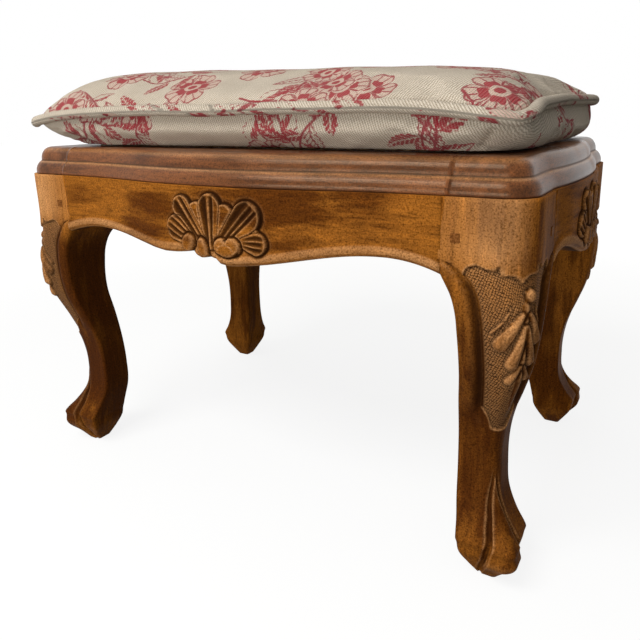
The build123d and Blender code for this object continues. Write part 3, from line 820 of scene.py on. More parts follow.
def leg_surface():
    """Points of the rear right leg by rows, its relief, where it is punched, its painted shade, and its wear
    with a painted sheen on its block.
    """
    rows = [np.linspace(low, high, count, endpoint=high == FRAME_HEIGHT) for low, high, count in LEG_ROWS]
    rows = np.concatenate(rows)[:, None]
    outer, inner, radius = (part[:, None] for part in hermite(LEG_STATIONS, rows[:, 0]).T)
    width = inner - outer - radius - INNER_ROUND
    x, y, normal_x, normal_y, along, carved = leg_strips(rows, outer, inner, radius, width)
    inward = np.maximum(radius * math.pi / 4 + width - np.abs(along), 0.0)
    relief, punched, dark, wear_and_highlight = knee_carving(along, rows, inward)
    # Painted sheen on the front of the block, kept off the painted shade
    painted_sheen = BLOCK_SHEEN * smooth_step(*SHEEN_HEIGHTS, rows) * smooth_step(*SHEEN_REACH, along)
    painted_sheen *= 1.0 - SHEEN_LOSS * smooth_step(*SHEEN_FADE, along)
    wear_and_highlight = np.maximum(wear_and_highlight, painted_sheen * (dark < SHEEN_SHADE_LIMIT))
    foot = foot_carving(np.abs(along), rows) * carved
    relief = relief * carved
    out = relief + foot
    points = np.stack([x + normal_x * out, y + normal_y * out, np.broadcast_to(rows, x.shape)], axis=-1)
    return points, relief + FOOT_SHADE_AND_WEAR * foot, punched * carved, dark * carved, wear_and_highlight * carved


def shade_and_wear_values(piece, relief, dark, wear_and_highlight, wrap):
    """Painted shade in the hollows and worn edges of a carved surface, from its relief at two scales, and the
    given painted shade, wear and painted highlights.
    """
    fine, broad = ((blur(relief, reach, wrap) - relief) / full for reach, full in (FINE_SHADE_AND_WEAR, BROAD_SHADE_AND_WEAR))
    cavity = clamp(fine) * HOLLOW_SHARE + clamp(broad) * HOLLOW_SHARE
    edge = clamp(-fine) * EDGE_SHARE
    set_values(piece, cavity=clamp(np.maximum(cavity, dark)), edge=np.maximum(edge, wear_and_highlight))


def make_legs(material):
    points, relief, punched, dark, wear_and_highlight = leg_surface()
    for sign_y, depth in ((-1, "front"), (1, "rear")):
        for sign_x, side in ((-1, "left"), (1, "right")):
            placed = points.reshape(-1, 3) * np.array([sign_x, sign_y, 1.0])
            stain = table_at(LEG_STAIN_AND_SHADE, placed[:, 2])
            # Stain with painted shade, darkest on the shank and weaker on the rear legs
            if sign_y < 0:
                placed[:, 0] += FRONT_LEAN * smooth_step(*LEAN_HEIGHTS, placed[:, 2])
            else:
                stain = stain * REAR_STAIN_AND_SHADE
            faces = ring_faces(*relief.shape, sign_x * sign_y < 0)
            node = f"leg_{depth}_{side}"
            leg = new_mesh(f"carved_{node}", placed, faces, material, "frame", "carved_walnut")
            shade_and_wear_values(leg, relief, dark, wear_and_highlight, True)
            set_values(leg, punched=punched, stain=stain)
            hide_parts(node)


def lobe_relief(across, up, lobe):
    """Relief of a grooved lobe, the distance outside its edge, its painted shade in the grooves and on the
    side turned from the light, and its painted highlight on the rim.
    """
    base, tip, half_width, rise, grooves = lobe
    length = math.hypot(tip[0] - base[0], tip[1] - base[1])
    axis = ((tip[0] - base[0]) / length, (tip[1] - base[1]) / length)
    along = (across - base[0]) * axis[0] + (up - base[1]) * axis[1]
    side = (across - base[0]) * axis[1] - (up - base[1]) * axis[0]
    shoulder = length - half_width
    opened = clamp(along / shoulder)
    taper = half_width * rise_from(LOBE_ROOT, opened**LOBE_SWELL)
    cap = np.hypot(side, along - shoulder) - half_width
    body = np.maximum(np.abs(side) - taper, -along)
    outside = np.where(along > shoulder, cap, body)
    depth = np.maximum(-outside, 0.0)
    lift = rise * rise_from(LOBE_LOW, smooth_step(0.0, length, along))
    lift += LOBE_CROWN * clamp(1.0 - (side / taper) ** 2)
    ends = smooth_step(*GROOVE_STOP, depth + GROOVE_SIDE * np.abs(side))
    ends = ends * smooth_step(0.0, GROOVE_START, along)
    dark = np.zeros(lift.shape)
    for share, half, deep in grooves:
        narrow = half * rise_from(GROOVE_ROOT, opened)
        cut = clamp(1.0 - np.abs(side - share * taper) / narrow) * ends
        lift -= deep * cut**GROOVE_ROUND
        # Painted shade in each groove
        dark = np.maximum(dark, cut**GROOVE_DARK)
    wall = smooth_step(0.0, LOBE_WALL, depth)
    # Painted shade on the side turned from the light, painted highlight on the rim elsewhere
    shaded = smooth_step(*TURNED_EDGE, outside) * smooth_step(0.0, TURNED_SIDE, side / taper)
    rim = bell(depth, *RIM_HIGHLIGHT) * smooth_step(*RIM_HIGHLIGHT_RUN, along / length) * (1.0 - shaded)
    return wall * lift, outside, np.maximum(dark * wall, TURNED_DARK * shaded), rim


def shell_relief(across, up):
    """Relief of the whole shell with the hollow cut round it, its painted shade in grooves, cuts and hollow,
    and its painted highlights on rims.
    """
    relief, dark, pale = (np.zeros(np.broadcast(across, up).shape) for _ in range(3))
    outside = np.full(relief.shape, FAR)
    for web in WEBS:
        raised, edge, _, _ = lobe_relief(across, up, web)
        relief = np.maximum(relief, raised)
        outside = np.minimum(outside, edge)
    for lobe in LOBES:
        raised, edge, grooves, rim = lobe_relief(across, up, lobe)
        relief = np.where(edge < 0.0, np.maximum(raised, WEB_SHARE * relief), relief)
        dark = np.where(edge < 0.0, grooves, dark)
        pale = np.where(edge < 0.0, rim, pale)
        outside = np.minimum(outside, edge)
    for middle, half, lean, rise in BOSSES:
        right, high = turned(across, up, middle, lean)
        reach = np.hypot(right / half[0], high / half[1])
        dome = rise * clamp(1.0 - reach**BOSS_SQUARE) ** BOSS_DOME
        moat = bell(reach, *BOSS_MOAT) * (reach > 1.0) * (relief < rise * BOSS_CLEAR)
        relief = np.maximum(relief * (1.0 - BOSS_CUT * moat), dome)
        # Painted shade in the cut round a bud, painted highlight on its upper rim
        dark = np.where(reach < 1.0, 0.0, np.maximum(dark, moat))
        pale = np.where(reach < 1.0, bell(reach, *BOSS_HIGHLIGHT) * (high > 0.0), pale)
        outside = np.minimum(outside, (reach - 1.0) * half[0])
    hollow = bell(outside, *HOLLOW_PLACE) * (outside > 0.0)
    deep = HOLLOW_LEFT + (HOLLOW_RIGHT - HOLLOW_LEFT) * smooth_step(*HOLLOW_RUN, across)
    # Painted shade in the hollow, darker to the right
    shade = HOLLOW_DARK * hollow * deep / HOLLOW_RIGHT
    return relief - deep * hollow, np.maximum(dark, shade), pale


def edge_height(along, half):
    """Height of the apron's lower edge."""
    arch = BLOCK_BASE + ARCH_RISE
    turn = half * ARCH_SHARE
    along = np.abs(along)
    middle = arch - (ARCH_RISE + CENTRE_DROP) * (1 + np.cos(math.pi * np.minimum(along, turn) / turn)) / 2
    ends = arch - ARCH_RISE * (np.maximum(along - turn, 0.0) / (half - turn)) ** 2
    return np.where(along < turn, middle, ends)


def apron_columns(half):
    """Places along an apron, closer together at the shell."""
    ends = np.linspace(-half, -SHELL_REACH, int((half - SHELL_REACH) / APRON_STEP), endpoint=False)
    shell = np.linspace(-SHELL_REACH, SHELL_REACH, SHELL_COLUMNS, endpoint=False)
    return np.concatenate([ends, shell, -ends[::-1]])


def apron_surface(half, bow, reverse, face, shell_shift, edge_shift):
    """Rings of the apron along its length, over face, lip and back: place, relief, painted shade and painted
    highlights.
    """
    along = apron_columns(half)[:, None]
    low = edge_height(along - edge_shift * (1.0 - (along / half) ** 2), half)
    if shell_shift:
        low = low + table_at(EDGE_NOTCHES, along - shell_shift)
    lip_rows = np.linspace(0.0, LIP_HEIGHT, LIP_ROWS, endpoint=False)
    field = (FRAME_HEIGHT - low - LIP_HEIGHT) * np.linspace(0.0, 1.0, FIELD_ROWS)
    up = np.concatenate([low + lip_rows, low + LIP_HEIGHT + field], axis=1)
    above = up - low
    lip = table_at(LIP, above)
    shell, dark, pale = shell_relief(along - shell_shift, up - EDGE_BASE)
    zone = smooth_step(0.0, 1.0, np.abs(shell))
    relief = lip * (1.0 - zone * (shell > 0)) + shell
    broken = np.minimum(relief, np.maximum(lip, BROKEN_START + BROKEN_SLOPE * above))
    relief = np.where(above < BROKEN_EDGE, broken, relief)
    depth = face + bulge(along, half, bow, reverse) + relief
    # Painted highlights on the lip's crest and on the shell's rims
    wear_and_highlight = np.maximum(LIP_HIGHLIGHT * smooth_step(*LIP_CREST, lip) * (1.0 - zone), SHELL_HIGHLIGHT * pale)
    rear_up = low + (FRAME_HEIGHT - low) * np.linspace(1.0, 0.0, BACK_ROWS)
    plain = np.zeros_like(rear_up)
    back = plain + face - APRON_THICKNESS
    pairs = ((depth, back), (up, rear_up), (relief, plain), (dark, plain), (wear_and_highlight, plain))
    depth, up, relief, dark, wear_and_highlight = (np.concatenate(pair, axis=1) for pair in pairs)
    return np.broadcast_to(along, up.shape), depth, up, relief, dark, wear_and_highlight


def make_aprons(materials):
    wide = (FRONT_HALF, FRONT_BOW, FRONT_REVERSE, LEG_FACE_Y)
    deep = (SIDE_HALF, SIDE_BOW, SIDE_REVERSE, LEG_FACE_X)
    for quarter, name in enumerate(("front", "right", "rear", "left")):
        shifts = (SHELL_SHIFT, EDGE_SHIFT) if name == "front" else (0.0, 0.0)
        along, depth, up, relief, dark, wear_and_highlight = apron_surface(*(wide, deep)[quarter % 2], *shifts)
        x, y = along, -depth
        for _ in range(quarter):
            x, y = -y, x
        points = np.stack([x, y, up], axis=-1).reshape(-1, 3)
        faces = ring_faces(*relief.shape, True)
        node = f"apron_{name}"
        apron = new_mesh(f"carved_{node}", points, faces, materials[quarter % 2], "frame", "carved_walnut")
        shade_and_wear_values(apron, relief, dark, wear_and_highlight, False)
        shell = smooth_step(*STAINED_RELIEF, relief) * (up - BLOCK_BASE < STAINED_TOP)
        set_values(apron, punched=np.zeros(relief.shape), stain=APRON_STAIN + SHELL_STAIN * shell)
        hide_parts(node)


def moulding_rows():
    """The moulding's profile with more points, by straight runs."""
    table = np.array(MOULDING)
    length = np.concatenate([[0.0], np.cumsum(np.hypot(*np.diff(table, axis=0).T))])
    at = np.linspace(0.0, length[-1], MOULDING_ROWS)
    return np.stack([np.interp(at, length, column) for column in table.T], axis=-1)


def front_path():
    """The front rail's line: points and outward directions."""
    x = np.linspace(-RAIL_JOINT, RAIL_JOINT, FRONT_COLUMNS)
    y = -(LEG_FACE_Y + bulge(x, FRONT_HALF, FRONT_BOW, FRONT_REVERSE))
    slope = np.gradient(y, x)
    normal = np.stack([slope, -np.ones_like(slope)], axis=-1)
    normal[[0, -1]] = (0.0, -1.0)
    return np.stack([x, y], axis=-1), unit(normal)


def side_path():
    """The right rail's line round both of its corners: points and outward directions."""
    corner_x, corner_y = LEG_FACE_X - CORNER_RADIUS, -(LEG_FACE_Y - CORNER_RADIUS)
    lead = np.linspace(RAIL_JOINT, corner_x, LEAD_COLUMNS, endpoint=False)
    front = np.stack([lead, np.full_like(lead, -LEG_FACE_Y)], axis=-1)
    front_normal = np.tile((0.0, -1.0), (len(lead), 1))
    turn = np.linspace(0.0, math.pi / 2, CORNER_COLUMNS)
    round_normal = np.stack([np.sin(turn), -np.cos(turn)], axis=-1)
    corner = np.array([corner_x, corner_y]) + CORNER_RADIUS * round_normal
    y = np.linspace(corner_y, 0.0, SIDE_COLUMNS)[1:]
    x = LEG_FACE_X + bulge(y, SIDE_HALF, SIDE_BOW, SIDE_REVERSE)
    slope = np.gradient(x, y)
    slope[-1] = 0.0
    side_normal = unit(np.stack([np.ones_like(slope), -slope], axis=-1))
    points = np.concatenate([front, corner, np.stack([x, y], axis=-1)])
    normals = np.concatenate([front_normal, round_normal, side_normal])
    flip = np.array([1.0, -1.0])
    return [np.concatenate([part, part[-2::-1] * flip]) for part in (points, normals)]


def rail_piece(name, path, normals, inner, turn, material):
    """A moulded member of the seat frame: a strip of moulding, flat top and bottom, inner wall and ends."""
    profile = moulding_rows()
    points = []
    for inset, rise in profile:
        height = np.full((len(path), 1), FRAME_HEIGHT + rise)
        points.append(np.concatenate([path - normals * inset, height], axis=1))
    for height in (FRAME_HEIGHT, RAIL_TOP):
        points.append(np.array([(x, y, height) for x, y in inner]))
    grid = numbered(len(profile), len(path))
    count = len(inner)
    low, high = (grid.size + numbered(2, count)).tolist()
    faces = grid_quads(grid).tolist()
    faces.append(grid[-1].tolist() + high)
    faces.append(grid[0][::-1].tolist() + low[::-1])
    faces += [[low[n], low[n + 1], high[n + 1], high[n]][::-1] for n in range(count - 1)]
    faces.append(grid[:, -1].tolist() + [high[0], low[0]])
    faces.append(grid[::-1, 0].tolist() + [low[-1], high[-1]])
    points = np.concatenate(points) * np.array([turn, turn, 1.0])
    rail = new_mesh(f"moulded_{name}", points, faces, material, "frame", "moulded_walnut")
    curved = [len(face.vertices) == 4 and face.normal.z <= LEVEL for face in rail.data.polygons]
    rail.data.polygons.foreach_set("use_smooth", curved)
    heights = profile[:, 1]
    # Painted shade in the quirk and at the foot, wear with a painted highlight on the crests
    dark = np.maximum.reduce([bell(heights, *line) for line in SHADED_LINES])
    crest = sum(share * bell(heights, middle, width) for middle, width, share in CRESTS)
    spare = np.zeros(2 * count)
    cavity, edge = (np.append(np.repeat(row, len(path)), spare) for row in (dark, clamp(crest) * CREST_WEAR_AND_HIGHLIGHT))
    plain = np.zeros(len(points))
    set_values(rail, cavity=cavity, edge=edge, punched=plain, stain=plain)
    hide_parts(name)


def make_rails(materials):
    short = [(RAIL_JOINT, -RAIL_INNER_Y), (-RAIL_JOINT, -RAIL_INNER_Y)]
    long = [(RAIL_JOINT, RAIL_INNER_Y), (RAIL_INNER_X, RAIL_INNER_Y), (RAIL_INNER_X, -RAIL_INNER_Y), short[0]]
    runs = ((("front", "rear"), front_path(), short), (("right", "left"), side_path(), long))
    for material, (names, path, inner) in zip(materials, runs):
        for name, turn in zip(names, (1, -1)):
            rail_piece(f"seat_rail_{name}", *path, inner, turn, material)


def ribbon(centre, across, width, thickness):
    """Points of a flat strand with an arched top along a line, and its faces."""
    rows = []
    for side, up in STRAND_SECTION:
        lift = np.array([0, 0, thickness * up - thickness / 2])
        rows.append(centre + np.array(across) * (width * side) + lift)
    return np.stack(rows, axis=1).reshape(-1, 3), ring_faces(len(centre), len(STRAND_SECTION), False)


def join(parts):
    """Several sets of points and faces as one."""
    points, faces, start = [], [], 0
    for some, quads in parts:
        points.append(some)
        faces += [[corner + start for corner in quad] for quad in quads]
        start += len(some)
    return np.concatenate(points), faces


def strand(start, end, swing, phase, width):
    """One woven strand from hole to hole, over and under in turn."""
    start, end = np.array(start), np.array(end)
    length = np.linalg.norm(end - start)
    share = np.linspace(0.0, 1.0, int(length / STRAND_STEP))[:, None]
    line = start + (end - start) * share
    wave = swing * np.cos(math.pi * length * share / HOLE_PITCH + phase)
    centre = np.concatenate([line, CANE_MIDDLE + wave], axis=1)
    run = (end - start) / length
    return ribbon(centre, (-run[1], run[0], 0.0), width, STRAND_THICKNESS)


def diagonal_ends(offset, slope):
    """Where a diagonal meets the edge of the net."""
    ends = []
    for x in (-CANE_HALF_X, CANE_HALF_X):
        y = offset + slope * x
        if abs(y) <= CANE_HALF_Y:
            ends.append((x, y))
    for y in (-CANE_HALF_Y, CANE_HALF_Y):
        x = (y - offset) / slope
        if abs(x) < CANE_HALF_X:
            ends.append((x, y))
    return ends


def make_cane(material):
    """The six-way woven seat: pairs each way, then two sets of diagonals."""
    parts = []
    ways = ((CANE_HALF_X, CANE_HALF_Y, HOLES_X), (CANE_HALF_Y, CANE_HALF_X, HOLES_Y))
    for turn, (half, reach, holes) in enumerate(ways):
        for number, at in enumerate(np.linspace(-half, half, holes)[1:-1]):
            for side in (-PAIR_OFFSET, PAIR_OFFSET):
                ends = [(at + side, end) for end in (-reach, reach)]
                if turn:
                    ends = [(y, x) for x, y in ends]
                phase = math.pi * (number + (side > 0) + turn)
                parts.append(strand(*ends, WEAVE_SWING, phase, STRAND_WIDTH))
    slope = (CANE_HALF_Y / (HOLES_Y - 1)) / (CANE_HALF_X / (HOLES_X - 1))
    reach = CANE_HALF_X * slope + CANE_HALF_Y
    for way in (-1, 1):
        for offset in np.arange(-reach + HOLE_PITCH, reach - HOLE_PITCH / 2, HOLE_PITCH):
            ends = diagonal_ends(offset, way * slope)
            if len(ends) == 2 and math.dist(*ends) > DIAGONAL_LEAST:
                phase = math.pi / 2 * (1 + way)
                parts.append(strand(*ends, DIAGONAL_SWING, phase, DIAGONAL_WIDTH))
    seat = new_mesh("woven_cane_seat", *join(parts), material, "frame", "cane")
    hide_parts("cane_seat")


def binder_run(half, side):
    """One side of the binder along X, drawn down at each tie."""
    at = np.linspace(-half - BINDER_WIDTH / 2, half + BINDER_WIDTH / 2, int(2 * half / BINDER_STEP))
    arch = rise_from(BINDER_DIP, np.abs(np.cos(math.pi * at / TIE_PITCH)) ** BINDER_ROUND)
    line = (at, np.full_like(at, side), BINDER_FOOT + BINDER_LIFT + BINDER_ARCH * arch)
    return ribbon(np.stack(line, axis=-1), (0.0, 1.0, 0.0), BINDER_WIDTH, BINDER_THICKNESS)


def tie_loop(at, side):
    """A loop of fine cane over the binder along X."""
    span = np.linspace(-1.0, 1.0, TIE_STEPS)
    height = BINDER_FOOT - TIE_SINK + TIE_RISE * clamp(1.0 - span**TIE_SQUARE)
    line = (np.full_like(span, at), side + span * (BINDER_WIDTH / 2 + TIE_OVERHANG), height)
    return ribbon(np.stack(line, axis=-1), (1.0, 0.0, 0.0), TIE_WIDTH, TIE_THICKNESS)


def make_binder(material):
    """The binder on all four sides, and its ties between its arches. The ends have X and Y changed over."""
    runs, loops = [], []
    for half, other, order in ((CANE_HALF_X, CANE_HALF_Y, [0, 1, 2]), (CANE_HALF_Y, CANE_HALF_X, [1, 0, 2])):
        ties = int(half / TIE_PITCH)
        for side in (-other, other):
            strips = [binder_run(half, side)]
            strips += [tie_loop((number + 0.5) * TIE_PITCH, side) for number in range(-ties, ties)]
            strips = [(points[:, order], faces) for points, faces in strips]
            runs.append(strips[0])
            loops += strips[1:]
    binder = new_mesh("cane_binder_strip", *join(runs), material, "frame", "cane")
    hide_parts("cane_binder")
    ties = new_mesh("cane_binder_loops", *join(loops), material, "frame", "cane")
    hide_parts("cane_binder_ties")


def plan_place(a, b, inset):
    """Plan of the cushion from two shares, each from minus one to one."""
    half = (CUSHION_HALF_X - inset, CUSHION_HALF_Y - inset)
    radius = np.where((a < 0) & (b < 0), SHARP_CORNER, CUSHION_CORNER)
    round_off = (1 - math.sqrt(0.5)) * radius
    place = []
    for share, other, mine, theirs in ((a, b, half[0], half[1]), (b, a, half[1], half[0])):
        start = (theirs - radius) / (theirs - round_off)
        corner = round_off * clamp((np.abs(other) - start) / (1 - start)) ** 2
        place.append(share * (mine - CUSHION_DRAW_IN * (1 - other**2) - corner))
    return place


def seam_height(a, b):
    """Height of the seam: the cushion leans a little forward and its front corners droop."""
    droop = np.abs(a * b) ** DROOP_POWER * np.where(b < 0, CORNER_DROOP, REAR_DROOP)
    return SEAM_HEIGHT + SEAM_TILT * b - droop


def panel_shares(columns, rows):
    """Shares across a panel, from minus one to one both ways, closer together at its edges."""
    even = [np.linspace(-1.0, 1.0, count) for count in (columns, rows)]
    return np.meshgrid(*(line * (EDGE_DENSITY - (EDGE_DENSITY - 1.0) * line**2) for line in even))


def swell(a, b, ends, sides, power):
    """Fullness of a panel: zero at its border, near one over most of it."""
    return ((1 - np.abs(a) ** np.where(a < 0, *ends)) * (1 - np.abs(b) ** np.where(b < 0, *sides))) ** power


def overhang(share, reach):
    """A bulge that is greatest a little way in from the border."""
    near = (1 - np.abs(share)) / reach
    return near * np.exp(1 - near)


def cushion_grid():
    """Coarse top and bottom panels of the cushion, in rows."""
    a, b = panel_shares(*COARSE)
    x, y = plan_place(a, b, SEAM_INSET)
    seam = seam_height(a, b)
    top = seam + CROWN * (1 - CROWN_LEAN * a) * swell(a, b, *TOP_SWELL)
    bottom = seam - (seam - CUSHION_BASE) * clamp(LOW_FULL * swell(a, b, *LOW_SWELL))
    bulged = x + np.where(a < 0, *END_BULGE) * overhang(a, BULGE_REACH) * (1 - b**BULGE_FADE)
    forward = y - np.where(b < 0, FRONT_BULGE, 0.0) * overhang(b, FRONT_REACH) * (1 - a**FRONT_FADE)
    return np.stack([x, y, top], axis=-1), np.stack([bulged, forward, bottom], axis=-1)


def closed_cushion(top, bottom):
    """Both panels as one closed skin: points, faces, and which points of a panel lie inside the seam."""
    rows, columns = top.shape[:2]
    inside = np.zeros((rows, columns), bool)
    inside[1:-1, 1:-1] = True
    upper = numbered(rows, columns)
    lower = upper.copy()
    lower[inside] = upper.size + np.arange(inside.sum())
    points = np.concatenate([top.reshape(-1, 3), bottom[inside]])
    faces = np.concatenate([grid_quads(upper), grid_quads(lower, True)])
    return points, faces.tolist(), inside.ravel()


def puff_by_cloth(top, bottom):
    """Runs both panels as one closed cloth under light pressure and returns them settled."""
    points, faces, inside = closed_cushion(top, bottom)
    mesh = bpy.data.meshes.new("cushion_cloth")
    mesh.from_pydata((points * METRES).tolist(), [], faces)
    cloth = add_object("cushion_cloth", mesh)
    held = cloth.vertex_groups.new(name="seam")
    held.add(np.flatnonzero(~inside).tolist(), 1.0, "REPLACE")
    settings = cloth.modifiers.new("cloth", "CLOTH").settings
    for name, value in CLOTH.items():
        setattr(settings, name, value)
    settings.effector_weights.gravity = 0.0
    for frame in range(1, SIM_FRAMES + 1):
        bpy.context.scene.frame_set(frame)
    solved = cloth.evaluated_get(bpy.context.evaluated_depsgraph_get())
    moved = np.empty(points.size)
    solved.data.vertices.foreach_get("co", moved)
    bpy.context.scene.frame_set(1)
    bpy.data.objects.remove(cloth)
    shift = moved.reshape(-1, 3) / METRES - points
    length = np.linalg.norm(shift, axis=1, keepdims=True)
    points += shift * np.minimum(1.0, SIM_REACH / np.maximum(length, TINY))
    upper = points[: len(inside)]
    lower = upper.copy()
    lower[inside] = points[len(inside) :]
    return upper.reshape(top.shape), lower.reshape(top.shape)


def spread(count):
    """Weights that take a row of points to a finer row on a smooth curve through them."""
    at = np.linspace(0.0, count - 1.0, (count - 1) * FINER + 1)
    index = np.minimum(at.astype(int), count - 2)
    weights = np.zeros((len(at), count))
    for step, row in enumerate(CURVE_WEIGHTS):
        term = sum(part * (at - index) ** power for power, part in enumerate(row))
        np.add.at(weights, (np.arange(len(at)), np.clip(index + step - 1, 0, count - 1)), term)
    return weights


def refine(panel):
    """A panel on a grid about a millimetre fine."""
    return np.einsum("ij,jkc,lk->ilc", spread(panel.shape[0]), panel, spread(panel.shape[1]), optimize=True)


def gather(at, edge, wave):
    """Small gathers along the seam, fading away from it."""
    length, sway, slow = wave
    return np.sin(at / length + sway * np.sin(at / slow)) * np.exp(-edge / GATHER_REACH)


def pucker(panel, amount):
    """Adds gathers that run in from the seam, and slow unevenness of the filling."""
    a, b = panel_shares(*panel.shape[1::-1])
    edge_x = (1 - np.abs(a)) * CUSHION_HALF_X
    edge_y = (1 - np.abs(b)) * CUSHION_HALF_Y
    x, y = panel[..., 0], panel[..., 1]
    gathers = gather(y, edge_x, GATHERS[1]) + gather(x, edge_y, GATHERS[0])
    waves = sum(np.sin(x / across + y / along + phase) for across, along, phase in SLOW_WAVES)
    inside = 1 - np.exp(-np.minimum(edge_x, edge_y) / SEAM_FLAT)
    panel = panel.copy()
    panel[..., 2] += amount * inside * (GATHER_SHARE * gathers + SLOW_SHARE * waves)
    return panel


def leaf_edge(x, y, root, angle, length):
    """Distance to a leaf's edge, less than zero inside, to its veins, and the side of its rib."""
    along, side = turned(x, y, root, angle)
    share = clamp(along / length)
    bend = side - LEAF_BOW * length * share * (1 - share)
    width = LEAF_HALF_WIDTH * np.sin(math.pi * share**LEAF_BROAD) ** LEAF_POINT
    width = width * (1.0 + LEAF_RIPPLE * np.sin(along * LEAF_RIPPLES))
    outside = np.maximum.reduce([np.abs(bend) - width, -along, along - length])
    veins = np.abs(((along - VEIN_SLANT * np.abs(bend)) / VEIN_PITCH + 0.5) % 1.0 - 0.5) * VEIN_PITCH
    return outside, np.minimum(np.abs(bend), veins) - DRAWN_HALF, bend


def blossom_edge(x, y, middle, radius, turn):
    """Distance to a blossom's edge, to the lines that part its petals, to fine rays and to its heart."""
    reach = np.hypot(x - middle[0], y - middle[1])
    angle = np.arctan2(y - middle[1], x - middle[0]) - turn
    petal = np.abs(np.cos(angle * PETALS / 2))
    edge = radius * (rise_from(PETAL_LOW, petal**PETAL_ROUND) - PETAL_NOTCH * petal**NOTCH_POWER)
    parting = np.where(reach > PARTING_START * radius, reach * petal / PETALS * 2 - PARTING_HALF, FAR_AWAY)
    ray = np.abs((angle * RAY_COUNT / math.pi) % 1.0 - 0.5) * reach * math.pi / RAY_COUNT - DRAWN_HALF
    return reach - edge, parting, ray, reach - HEART * radius


def sprig_stem(root, heading, length, bend):
    """Points and headings along a bent stem."""
    share = np.linspace(0.0, 1.0, STEM_STEPS)
    angle = heading + bend * (share**BEND_POWER - BEND_START)
    step = length / (STEM_STEPS - 1)
    return root[0] + np.cumsum(np.cos(angle)) * step, root[1] + np.cumsum(np.sin(angle)) * step, angle


def draw_sprig(x, y, chance, root):
    """Distances to one sprig's deep red, pale red and lines, drawn by chance from its root."""
    deep, line = (np.full(x.shape, FAR_AWAY) for _ in range(2))
    bend = SPRIG_BEND * chance.choice((-1, 1)) * chance.uniform(*BEND_RANGE)
    start = chance.uniform(0.0, 2 * math.pi)
    stem_x, stem_y, heading = sprig_stem(root, start, chance.uniform(*SPRIG_LENGTH), bend)
    for at_x, at_y in zip(stem_x, stem_y):
        line = np.minimum(line, np.hypot(x - at_x, y - at_y) - STEM_HALF)
    for number, share in enumerate(LEAF_PLACES):
        step = int(share * (STEM_STEPS - 1))
        angle = heading[step] + (1 if number % 2 else -1) * chance.uniform(*LEAF_ANGLE)
        place = (stem_x[step], stem_y[step])
        outside, veins, bend = leaf_edge(x, y, place, angle, chance.uniform(*LEAF_LENGTH))
        outline = np.abs(outside) - DRAWN_HALF
        if number % 3 == 0:
            deep = np.minimum(deep, np.maximum(outside, -veins))
        elif number % 3 == 1:
            deep = np.minimum(deep, np.maximum.reduce([outside, bend, -veins]))
            line = np.minimum(line, outline)
        else:
            line = np.minimum.reduce([line, outline, np.maximum(outside, veins)])
    radius = chance.uniform(*BLOSSOM_RADIUS)
    lead = BLOSSOM_LEAD * radius
    tip = (stem_x[-1] + lead * math.cos(heading[-1]), stem_y[-1] + lead * math.sin(heading[-1]))
    outside, parting, ray, heart = blossom_edge(x, y, tip, radius, chance.uniform(0.0, BLOSSOM_TURN))
    deep, line = (np.where(outside < BLOSSOM_CLEAR, FAR_AWAY, part) for part in (deep, line))
    inner = outside + PETAL_BORDER * radius
    petals = np.maximum.reduce([inner, -parting, HEART_RING - heart])
    rays = np.maximum.reduce([outside, -inner, ray])
    parted = np.maximum(outside, np.abs(parting + PARTING_HALF) - DRAWN_HALF)
    deep = np.minimum.reduce([deep, petals, heart + HEART_RING])
    line = np.minimum.reduce([line, np.abs(outside) - PETAL_OUTLINE, rays, parted])
    return deep, outside, line


def ornament(x, y, seed):
    """Distances to the deep red, to the pale red and to the drawn lines of the printed cloth."""
    chance = random.Random(seed)
    drawn = [np.full(x.shape, FAR_AWAY) for _ in range(3)]
    reach = range(-SPRIG_REACH, SPRIG_REACH + 1)
    for row in reach:
        for column in reach:
            places = ((column + 0.5 * (row % 2)) * SPRIG_PITCH[0], row * SPRIG_PITCH[1])
            root = [place + chance.uniform(-jitter, jitter) for place, jitter in zip(places, SPRIG_JITTER)]
            near = np.hypot(x - root[0], y - root[1]) < SPRIG_LENGTH[1] + 2 * BLOSSOM_RADIUS[1]
            own = draw_sprig(x[near], y[near], chance, root)
            flower = own[1] < BLOSSOM_MARGIN
            for part, mine in zip(drawn, own):
                part[near] = np.where(flower, mine, np.minimum(part[near], mine))
    return drawn


def print_cloth(piece, x, y, seed):
    """Stores a piece's place on the flat cloth and its printed ornament."""
    deep, pale, line = ornament(x, y, seed)
    set_values(piece, cloth_x=x, cloth_y=y, deep=deep, pale=pale, line=line)


def cloth_place(panel):
    """Place on the flat cloth of each point of a panel, by lengths along the cloth from its middle."""
    place = []
    for axis in (1, 0):
        step = np.linalg.norm(np.diff(panel, axis=axis), axis=2)
        pad = [(0, 0), (0, 0)]
        pad[axis] = (1, 0)
        length = np.cumsum(np.pad(step, pad), axis=axis)
        middle = np.take(length, [panel.shape[axis] // 2], axis=axis)
        place.append((length - middle).ravel())
    return place


def make_cushion(material):
    panels = cushion_grid()
    panels = puff_by_cloth(*panels)
    top, bottom = (pucker(refine(panel), amount) for panel, amount in zip(panels, PUCKER))
    bottom[..., 2] = np.maximum(bottom[..., 2], CUSHION_BASE)
    points, faces, inside = closed_cushion(top, bottom)
    cushion = new_mesh("printed_cushion", points, faces, material, "cushion", "printed_linen")
    cuts = zip(cloth_place(top), cloth_place(bottom), LOWER_CUT)
    places = [np.concatenate([upper, lower[inside] + cut]) for upper, lower, cut in cuts]
    print_cloth(cushion, *places, PRINT_SEED)
    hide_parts("cushion_top_cover", "cushion_bottom_cover", "cushion_insert")


def ripple(length, waves):
    """Sum of small waves along a length."""
    return sum(size * np.sin(length / wave) for size, wave in waves)


